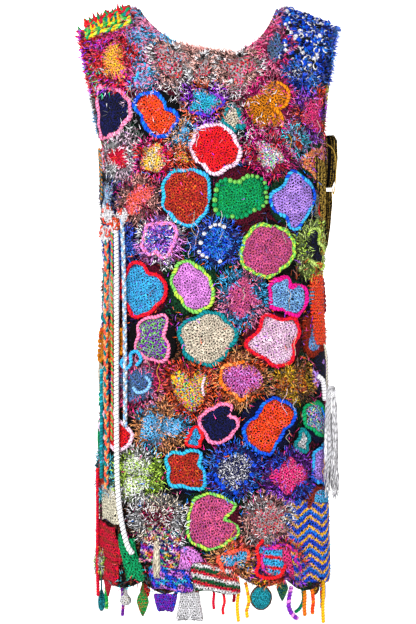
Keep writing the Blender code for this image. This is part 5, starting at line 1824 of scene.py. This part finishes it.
def add_edgings():
    """The neck's dark trim, the left armhole's twisted rope and the right one's corded strip."""
    rng = np.random.default_rng(5)
    batch = Batch()
    path, out = edge_path(neck_stops(), NECK_CORD, 1)
    names = ("black", "forest", "brick", "navy", "olive", "black", "mauve", "teal")
    pick = np.repeat(rng.integers(0, len(names), len(path) // 2 + 1), 2)[: len(path)]
    tints = np.array([yarn(names[k]) for k in pick])
    tube(batch, path, linked(path, NECK_CORD, 0.005, True), 8, tints, tints * [1, 1, 1, 0],
         facing=out, closed=True, link=0.005)
    batch.build("neck_trim", "rope", "edging_yarn", "neck_edging")

    batch = Batch()
    path, out = edge_path(armhole_stops(-1), LEFT_ROPE, 1)
    twisted(batch, path, LEFT_ROPE, 3, 0.02, 7, ("crimson", "green", "scarlet"), facing=out, closed=True)
    high = np.flatnonzero(path[:, 2] > -0.13)
    for k in high[:: max(1, len(high) // POINTS_ON_ROPE)]:
        away = unit([-0.8, 0.0, 0.5] + rng.normal(0, 0.35, 3))
        spike(batch, path[k], away, "crimson" if rng.random() < 0.7 else "green", rng)
    batch.build("left_armhole_rope", "rope", "edging_yarn", "armhole_rope_left")

    batch = Batch()
    path, out = edge_path(armhole_stops(1), RIGHT_CORD, -1)
    tube(batch, path, linked(path, RIGHT_CORD, 0.006, True), 10, yarn("pale_lime", 0.2),
         yarn("olive", 0.45), facing=out, closed=True, link=0.006)
    batch.build("right_armhole_strip", "rope", "edging_yarn", "armhole_cord_right")


# ---- the sides ----
STRIPS = table("Strip", "name s low_z high_z half_width thick", """
side_strip 0.214 -0.556 -0.418 0.014 0.006
side_patch 0.214 -0.648 -0.562 0.012 0.004
""")
STRIP_GAP = 0.0012
STRIP_SECTION = ((-1, 0.2), (-1, 0.7), (-0.5, 1), (0.5, 1), (1, 0.7), (1, 0.2), (0, 0))
STRIP_FORWARD, STRIP_WIDER = -0.013, 0.012


def strip_rings(strip, rows, ribs=0.0):
    """The rings of points of a strip laid along the side, swelling over its ribs."""
    wide, thick = resampled(np.array(STRIP_SECTION, float), 0.22, closed=True).T
    rings = []
    for share in np.arange(rows + 1) / rows:
        h = strip.high_z + (strip.low_z - strip.high_z) * share - HEM_Z
        ends = 1 - 0.35 * abs(2 * share - 1) ** 4
        swell = 1 + ribs * (abs(math.sin(math.pi * share * rows / 4)) - 0.5)
        out = CLOTH + 2 * FOOT_RISE + STRIP_GAP + strip.thick * thick * swell
        rings.append(on_form("front", strip.s + wide * ends * strip.half_width * swell, h, out))
    return np.array(rings)


def row_stitches(rings, size=STITCH):
    """Stitch places over rings of points, in rows."""
    middle = rings[len(rings) // 2]
    around = np.cumsum(np.linalg.norm(middle - np.roll(middle, 1, axis=0), axis=1)) / size
    far = along_path(rings.mean(axis=1))[1][:, None] / size
    return np.stack(np.broadcast_arrays(around, far, 1.0), axis=-1).reshape(-1, 3)


def box_section(turn):
    """A rounded box's width and thickness at each angle, from -1 to 1."""
    return (np.sign(wave) * np.abs(wave) ** 0.7 for wave in (np.cos(turn), np.sin(turn)))


def add_strips():
    """The chunky red-orange strip and the dark patch on the right side."""
    # The orange strip is painted 1.2 times brighter than its yarn, as painted light where the lamps only
    # graze the side.
    for strip, name, ribs, rows, first, second in (
        (STRIPS[0], "ribbed_orange_strip", 0.22, 88, 1.2 * yarn("orange_red", 0.3), yarn("coral", 0.3)),
        (STRIPS[1], "dark_side_patch", 0.0, 40, yarn("black", 0.4), yarn("navy", 0.25)),
    ):
        wide = strip._replace(s=strip.s + STRIP_FORWARD, half_width=strip.half_width + STRIP_WIDER)
        rings = strip_rings(wide, rows, ribs) + to_node(strip.name, strip_rings(strip, 9))
        batch = Batch()
        lofted(batch, rings, first, second, row_stitches(rings))
        batch.build(name, "crochet", "applied_crochet", strip.name)


FLAP_THICK = 0.0022
FLAP_TURN = math.radians(32)
FLAP_CLEAR = 0.02
# Each flap's rows: their height, half their width, and how far behind the seam they lie.
FLAPS = {
    "side_flap_upper": (
        (-0.206, 0.011, 0.004),
        (-0.215, 0.014, 0.003),
        (-0.245, 0.0145, 0.001),
        (-0.28, 0.0125, 0.0),
        (-0.294, 0.009, 0.0),
    ),
    "side_flap_lower": (
        (-0.3, 0.01, 0.0),
        (-0.32, 0.0105, 0.0),
        (-0.36, 0.0085, 0.0),
        (-0.39, 0.006, 0.0),
        (-0.402, 0.003, 0.0),
    ),
}
FLAP_SIDES = 96
FLAP_RIBS = 6


def add_flaps():
    """The black and mustard ribbed flaps behind the right side seam."""
    across = np.array([math.cos(FLAP_TURN), -math.sin(FLAP_TURN), 0])
    out = np.array([math.sin(FLAP_TURN), math.cos(FLAP_TURN), 0])
    root = SIDE_LEAN + float(girth(UNDERARM_Z, "half_width")) + FLAP_CLEAR
    wide, thick = box_section(TURN * (np.arange(FLAP_SIDES) + 0.5) / FLAP_SIDES)
    rib = np.cos(math.pi * FLAP_RIBS * (wide + 1))
    tints = np.where((rib > 0.1)[:, None], yarn("mustard"), yarn("black"))
    seconds = np.tile(yarn("black"), (FLAP_SIDES, 1))
    seconds[:, 3] = np.where(rib > 0.1, 0.3, 0.0)
    for name, rows in FLAPS.items():
        z, half, behind = np.array(rows).T
        heights = np.linspace(z[0], z[-1], 36)
        half, behind = (np.interp(-heights, -z, values) for values in (half, behind))
        half = half[:, None, None]
        centre = np.transpose([np.full(36, root), behind, heights])[:, None] + half * across
        rings, plain = (
            centre + half * wide[:, None] * across + (thick * relief * FLAP_THICK)[:, None] * out
            for relief in (1 + 0.35 * rib, 1.0)
        )
        rings = rings + to_node(name, plain)
        batch = Batch()
        yarns = (np.tile(tint, (len(rings), 1)) for tint in (tints, seconds))
        lofted(batch, rings, *yarns, row_stitches(rings, 0.004))
        batch.build(name + "_rib", "crochet", "ribbed_knit", name)


ROSETTES = {"rosette_top": "white", "rosette_right": "terracotta", "rosette_far": "white",
            "rosette_low": "white"}
ROSETTE_RISE = 0.0065
ROSETTE_GROW = 1.3
CURLS = 22
CURL_RADIUS, CURL_YARN = 0.0036, 0.0012
RUFFLE_YARN = 0.0019


def curl(batch, spot, out, colour, rng):
    """One small open loop of boucle yarn."""
    turn = np.linspace(0, rng.uniform(1.2, 1.7) * math.pi, 9)[:, None]
    tilt = unit(out + rng.normal(0, 0.5, 3))
    first = unit(np.cross(tilt, rng.normal(0, 1, 3)))
    size = CURL_RADIUS * rng.uniform(0.8, 1.3)
    path = spot + size * (np.cos(turn) * first + np.sin(turn) * np.cross(tilt, first))
    tube(batch, path, CURL_YARN, 5, colour, facing=tilt, link=0.003)


def add_rosettes():
    """The ruffled wheels that the long cords hang from."""
    rng = np.random.default_rng(8)
    out, across, up = np.array([[-0.75, -0.66, 0.0], [0.66, -0.75, 0.0], [0.0, 0.0, 1.0]])
    turn = circle(64)[:, None]
    for name, colour in ROSETTES.items():
        low, high = node_box(name)
        centre = (low + high) / 2
        radius = ROSETTE_GROW * (high[2] - low[2]) / 2
        batch = Batch()
        for level, reach, waves, tint in ((-0.15, 1.0, 8, "terracotta"), (0.15, 0.92, 7, colour),
                                          (0.42, 0.55, 5, "white")):
            size = radius * reach * (0.88 + 0.1 * np.cos(waves * turn))
            lift = ROSETTE_RISE * (level + 0.22 * np.cos(waves * turn + 1.0))
            for wide, deep in ((1.0, 1.0), (0.6, 0.5)):
                path = wide * size * (np.cos(turn) * across + np.sin(turn) * up) + deep * lift * out
                tube(batch, centre + path, RUFFLE_YARN, 6, yarn(tint), yarn("white", 0.2),
                     facing=out, closed=True)
        balls(batch, [centre + 0.1 * ROSETTE_RISE * out], [0.62 * radius], [out],
              [yarn(colour)], squash=0.5)
        for _ in range(CURLS):
            angle, far = rng.uniform(0, TURN), radius * math.sqrt(rng.random())
            spot = centre + far * (math.cos(angle) * across + math.sin(angle) * up)
            tint = yarn(rng.choice([colour, "white", "coral"]))
            curl(batch, spot + 0.7 * ROSETTE_RISE * out, out, tint, rng)
        batch.build(name + "_ruffle", "rope", "applied_crochet", name)


LOOP_S, LOOP_Z = -0.222, -0.27
LOOP_HALF_WIDTH, LOOP_HALF_HEIGHT = 0.009, 0.044
LOOP_YARN = 0.0022
SEAT_FROM = 0.016


def add_loop():
    """The many-coloured loop that hangs from the left underarm."""
    turn = circle(120)
    s = LOOP_S + LOOP_HALF_WIDTH * np.cos(turn)
    h = LOOP_Z + LOOP_HALF_HEIGHT * np.sin(turn) - HEM_Z
    path = on_form("front", s, h, SEAT_FROM)
    path = path + to_node("side_loop", path)
    out = outward("front", LOOP_S, LOOP_Z - HEM_Z)
    batch = Batch()
    twisted(batch, path, LOOP_YARN, 2, 0.008, 6, ("teal", "ochre"), facing=out, closed=True)
    batch.build("underarm_loop", "rope", "cord_yarn", "side_loop")


# ---- tassels ----
TASSEL_SIDES = 20
HEAD_PROFILE = ((0.0, 0.35), (0.18, 0.72), (0.35, 0.58), (0.7, 0.95), (1.0, 1.0))
BOUND_AT, BINDING_YARN = 0.35, 0.0012
TASSELS = {"side_tassel": (0.046, 0.19, 90, "white", "white"),
           "hem_tassel": (0.03, 0.062, 40, "ivory", "oatmeal")}


def add_tassels():
    """The long white tassel at the right side and the small one at the hem."""
    rng = np.random.default_rng(12)
    downs, wides = np.array(HEAD_PROFILE).T
    for name, (head, length, count, one, other) in TASSELS.items():
        low, high = node_box(name)
        middle, half = (low + high) / 2, (high - low) / 2

        def around(turn, wide, down, sway=0.0):
            x = middle[0] + half[0] * wide * np.cos(turn) + sway
            y = middle[1] + half[1] * wide * np.sin(turn) + 0.5 * sway
            return np.stack(np.broadcast_arrays(x, y, high[2] - down), axis=-1)

        shares = np.linspace(0, 1, 14)[:, None]
        rings = around(circle(TASSEL_SIDES), 0.8 * np.interp(shares, downs, wides), head * shares)
        batch = Batch()
        lofted(batch, rings, yarn(one), yarn(other, 0.2), row_stitches(rings, 0.004))
        down = np.linspace(0, 1, 18)
        for _ in range(count):
            a, reach = rng.uniform(0, TURN), rng.random() ** 0.4
            fall = (head + (length - head) * rng.uniform(0.55, 0.99)) * down
            loose = np.clip((fall - head) / (length - head), 0, 1)
            wide = np.interp(fall / head, downs, wides) * 0.88 * reach
            sway = 0.45 * half[0] * np.sin(rng.uniform(4, 11) * loose + a) * loose
            shade = yarn(one if rng.random() < 0.7 else other)
            shade[:3] *= rng.uniform(0.45, 1.15)
            tube(batch, around(a, wide, fall, sway), rng.uniform(0.0008, 0.0013), 5, shade,
                 facing=(0, -1, 0), link=rng.uniform(0.008, 0.016))
        wrap = TURN * np.linspace(0, 4, 60)
        neck = np.interp(BOUND_AT, downs, wides)
        path = around(wrap, neck, head * BOUND_AT - 0.001 * (wrap / math.pi - 4))
        tube(batch, path, BINDING_YARN, 5, yarn(other), facing=(0, 0, 1), link=0.004)
        batch.build(name + "_yarn", "rope", "tassel_yarn", name)


# ---- pendants at the hem ----
# How far down, how wide as a share, and how thick each kind of pendant is, from its top.
PENDANTS = {
    "triangle": (
        (0.0, 1.0, 0.002), (0.1, 1.0, 0.0026), (0.55, 0.5, 0.0028),
        (1.0, 0.06, 0.0014),
    ),
    "drop": (
        (0.0, 0.16, 0.0013), (0.34, 0.16, 0.0013), (0.5, 0.58, 0.0045),
        (0.72, 1.0, 0.006), (0.92, 0.68, 0.005), (1.0, 0.2, 0.002),
    ),
    "leaf": (
        (0.0, 0.14, 0.0013), (0.22, 0.16, 0.0013), (0.42, 0.8, 0.0026),
        (0.58, 1.0, 0.0032), (0.84, 0.52, 0.0026), (1.0, 0.08, 0.0012),
    ),
    "bud": (
        (0.0, 0.3, 0.002), (0.35, 0.36, 0.0024), (0.6, 0.95, 0.007),
        (0.82, 1.0, 0.0075), (1.0, 0.45, 0.0035),
    ),
    "fold": (
        (0.0, 0.45, 0.003), (0.18, 0.78, 0.0045), (0.5, 0.92, 0.006),
        (0.8, 1.0, 0.0055), (0.95, 0.94, 0.004), (1.0, 0.7, 0.003),
    ),
    "disc": (
        (0.0, 0.3, 0.0025), (0.1, 0.62, 0.0035), (0.3, 0.93, 0.0042),
        (0.52, 1.0, 0.0045), (0.76, 0.85, 0.0042), (0.93, 0.5, 0.0035),
        (1.0, 0.22, 0.0025),
    ),
    "flap": (
        (0.0, 0.92, 0.002), (0.12, 1.0, 0.0026), (0.8, 0.96, 0.0028),
        (1.0, 0.86, 0.002),
    ),
}
HANGINGS = table("Hanging", "name side station kind length half_width one other mixed", """
hem_drop front 1 drop 0.056 0.008 teal turquoise 0.3
hem_triangle front 3 triangle 0.034 0.011 crimson brick 0.3
hem_bud front 7 bud 0.028 0.0065 white ivory 0.2
hem_leaf front 9 leaf 0.056 0.0085 green terracotta 0.2
hem_flap_left front 12 flap 0.026 0.017 purple royal 0.35
hem_fold front 15 fold 0.058 0.011 white white 0.0
hem_disc front 24 disc 0.036 0.017 turquoise teal 0.4
hem_scrap front 35 flap 0.024 0.008 blue mauve 0.4
hem_back_drop back 9 drop 0.05 0.008 scarlet coral 0.3
hem_back_flap back 17 flap 0.028 0.017 forest pale_pink 0.4
hem_back_leaf back 27 leaf 0.052 0.0085 teal grass 0.3
hem_back_disc back 32 disc 0.032 0.015 gold ochre 0.3
""")
# The folded pendant and the flaps as they hang, wider or narrower towards their scalloped ends.
HUNG = {
    "fold": (
        (0.0, 0.5, 0.003), (0.14, 0.7, 0.0045), (0.45, 0.8, 0.006),
        (0.8, 1.0, 0.0055), (0.95, 1.08, 0.0045), (1.0, 0.98, 0.003),
    ),
    "flap": (
        (0.0, 0.92, 0.002), (0.12, 1.0, 0.0026), (0.6, 0.86, 0.0028),
        (0.92, 0.7, 0.0026), (1.0, 0.55, 0.002),
    ),
}
SCALLOP = 0.0036
PENDANT_SIDES = 36
FOLD_DEPTH = 0.0035
FULLER = {"fold": 1.9, "triangle": 1.9, "flap": 1.2, "leaf": 1.35, "drop": 1.2, "bud": 1.5}


def pendant_rings(one, rows, sides, hung):
    """The rings of a pendant: at its solid's own rows, or as it hangs and evenly down it."""
    top, across = hem_place(one.side, one.station)
    out = np.array(across.cross(Vector((0, 0, 1))))
    profile = np.array((HUNG if hung and one.kind in HUNG else PENDANTS)[one.kind])
    downs = np.linspace(0, 1, rows) if hung else profile[:, 0]
    half, deep = (np.interp(downs, profile[:, 0], profile[:, k])[:, None, None] for k in (1, 2))
    wide, thick = (share[:, None] for share in box_section(TURN * (np.arange(sides) + 0.5) / sides))
    folds = FOLD_DEPTH * np.cos(2.5 * math.pi * wide) * (hung and one.kind == "fold")
    lobes = SCALLOP * np.cos(3 * math.pi * wide) * (hung and one.kind in HUNG)
    down, up = downs[:, None, None], np.array([0, 0, 1])
    rings = np.array(top) - down * one.length * up + lobes * down**4 * up
    return rings + one.half_width * half * wide * np.array(across) + (thick * deep + folds * down) * out


def add_pendants():
    """What hangs from the hem."""
    for one in HANGINGS:
        fuller = one._replace(half_width=one.half_width * FULLER.get(one.kind, 1.0))
        rings = pendant_rings(fuller, 24, PENDANT_SIDES, True)
        rings = rings + to_node(one.name, pendant_rings(one, 0, 8, False))
        batch = Batch()
        lofted(batch, rings, yarn(one.one), yarn(one.other, one.mixed), row_stitches(rings, 0.0036))
        if one.kind == "disc":
            edges = np.concatenate([rings[:, 0], rings[::-1, PENDANT_SIDES // 2]])
            tube(batch, edges, 0.002, 6, yarn("brown"), facing=(0, -1, 0), closed=True)
        batch.build(one.name + "_crochet", "crochet", "applied_crochet", one.name)


# ---- the add-on ----
class StageSettings(PropertyGroup):
    """Sizes and strengths of the stage."""

    distance: FloatProperty(
        name="Distance", description="From the camera to the dress", default=4.0, unit="LENGTH"
    )
    reach: FloatProperty(
        name="Reach", description="How far the paper runs out", default=6.5, unit="LENGTH"
    )
    floor: FloatProperty(
        name="Floor", description="Height of the paper under the dress", default=-1.06, unit="LENGTH"
    )
    key: FloatProperty(
        name="Key", description="Power of the large light at the left", default=172.0, subtype="POWER"
    )
    fill: FloatProperty(
        name="Fill", description="Power of the light at the right", default=44.0, subtype="POWER"
    )
    back: FloatProperty(
        name="Paper", description="Power of the light on the paper", default=500.0, subtype="POWER"
    )
    ambient: FloatProperty(
        name="Ambient", description="Strength of the light from all round", default=0.22
    )


class FuzzSettings(PropertyGroup):
    """How thick the eyelash fuzz grows, and how bright it is."""

    density: FloatProperty(
        name="Density", description="Hairs on a millimetre of a motif's rim", default=2.55, min=0.0
    )
    # The share of hairs given a painted highlight in their colour.
    bright_share: FloatProperty(
        name="Bright hairs", description="Share of the hairs that catch the light",
        default=0.42, subtype="FACTOR", min=0.0, max=1.0,
    )
    frost: FloatProperty(
        name="Frost", description="How white the tips of the bright hairs are",
        default=0.34, subtype="FACTOR", min=0.0, max=1.0,
    )


class CROCHET_OT_stage(Operator):
    """Adds the camera, the paper sweep and the lights"""

    bl_idname = "crochet.stage"
    bl_label = "Stage"

    def execute(self, context):
        add_stage(context.scene.crochet_stage)
        return {"FINISHED"}


class CROCHET_OT_side_cords(Operator):
    """Adds the long cords at the left side"""

    bl_idname = "crochet.side_cords"
    bl_label = "Side cords"

    def execute(self, context):
        add_side_cords()
        return {"FINISHED"}


class CROCHET_OT_hem_cords(Operator):
    """Adds the short cords under the hem"""

    bl_idname = "crochet.hem_cords"
    bl_label = "Hem cords"

    def execute(self, context):
        add_hem_cords()
        return {"FINISHED"}


class CROCHET_OT_front(Operator):
    """Adds the front's patchwork"""

    bl_idname = "crochet.front"
    bl_label = "Front"

    def execute(self, context):
        add_patchwork("front", context.scene.crochet_fuzz)
        return {"FINISHED"}


class CROCHET_OT_back(Operator):
    """Adds the back's patchwork"""

    bl_idname = "crochet.back"
    bl_label = "Back"

    def execute(self, context):
        add_patchwork("back", context.scene.crochet_fuzz)
        return {"FINISHED"}


class CROCHET_OT_edgings(Operator):
    """Adds the cords along the neck and the armholes"""

    bl_idname = "crochet.edgings"
    bl_label = "Edgings"

    def execute(self, context):
        add_edgings()
        return {"FINISHED"}


class CROCHET_OT_strips(Operator):
    """Adds the strip and the patch on the right side"""

    bl_idname = "crochet.strips"
    bl_label = "Side strips"

    def execute(self, context):
        add_strips()
        return {"FINISHED"}


class CROCHET_OT_flaps(Operator):
    """Adds the ribbed flaps behind the right side seam"""

    bl_idname = "crochet.flaps"
    bl_label = "Flaps"

    def execute(self, context):
        add_flaps()
        return {"FINISHED"}


class CROCHET_OT_rosettes(Operator):
    """Adds the ruffled rosettes at the left side"""

    bl_idname = "crochet.rosettes"
    bl_label = "Rosettes"

    def execute(self, context):
        add_rosettes()
        return {"FINISHED"}


class CROCHET_OT_loop(Operator):
    """Adds the loop under the left armhole"""

    bl_idname = "crochet.loop"
    bl_label = "Underarm loop"

    def execute(self, context):
        add_loop()
        return {"FINISHED"}


class CROCHET_OT_tassels(Operator):
    """Adds the tassels at the side and the hem"""

    bl_idname = "crochet.tassels"
    bl_label = "Tassels"

    def execute(self, context):
        add_tassels()
        return {"FINISHED"}


class CROCHET_OT_pendants(Operator):
    """Adds what hangs from the hem"""

    bl_idname = "crochet.pendants"
    bl_label = "Pendants"

    def execute(self, context):
        add_pendants()
        return {"FINISHED"}


OPERATORS = (
    CROCHET_OT_stage,
    CROCHET_OT_side_cords,
    CROCHET_OT_hem_cords,
    CROCHET_OT_front,
    CROCHET_OT_back,
    CROCHET_OT_edgings,
    CROCHET_OT_strips,
    CROCHET_OT_flaps,
    CROCHET_OT_rosettes,
    CROCHET_OT_loop,
    CROCHET_OT_tassels,
    CROCHET_OT_pendants,
)


class CROCHET_PT_dress(Panel):
    """Lists the dress's pieces"""

    bl_idname = "CROCHET_PT_dress"
    bl_label = "Crochet dress"
    bl_space_type = "VIEW_3D"
    bl_region_type = "UI"
    bl_category = "Crochet"

    def draw(self, context):
        for operator in OPERATORS:
            self.layout.operator(operator.bl_idname)


CLASSES = (StageSettings, FuzzSettings, *OPERATORS, CROCHET_PT_dress)


def register():
    for one in CLASSES:
        bpy.utils.register_class(one)
    bpy.types.Scene.crochet_stage = PointerProperty(type=StageSettings)
    bpy.types.Scene.crochet_fuzz = PointerProperty(type=FuzzSettings)


def unregister():
    del bpy.types.Scene.crochet_fuzz
    del bpy.types.Scene.crochet_stage
    for one in reversed(CLASSES):
        bpy.utils.unregister_class(one)


def main():
    """Builds the stage and the whole dress."""
    register()
    bpy.ops.crochet.stage()
    bpy.ops.crochet.side_cords()
    bpy.ops.crochet.hem_cords()
    bpy.ops.crochet.front()
    bpy.ops.crochet.back()
    bpy.ops.crochet.edgings()
    bpy.ops.crochet.strips()
    bpy.ops.crochet.flaps()
    bpy.ops.crochet.rosettes()
    bpy.ops.crochet.loop()
    bpy.ops.crochet.tassels()
    bpy.ops.crochet.pendants()


if __name__ == "__main__":
    main()
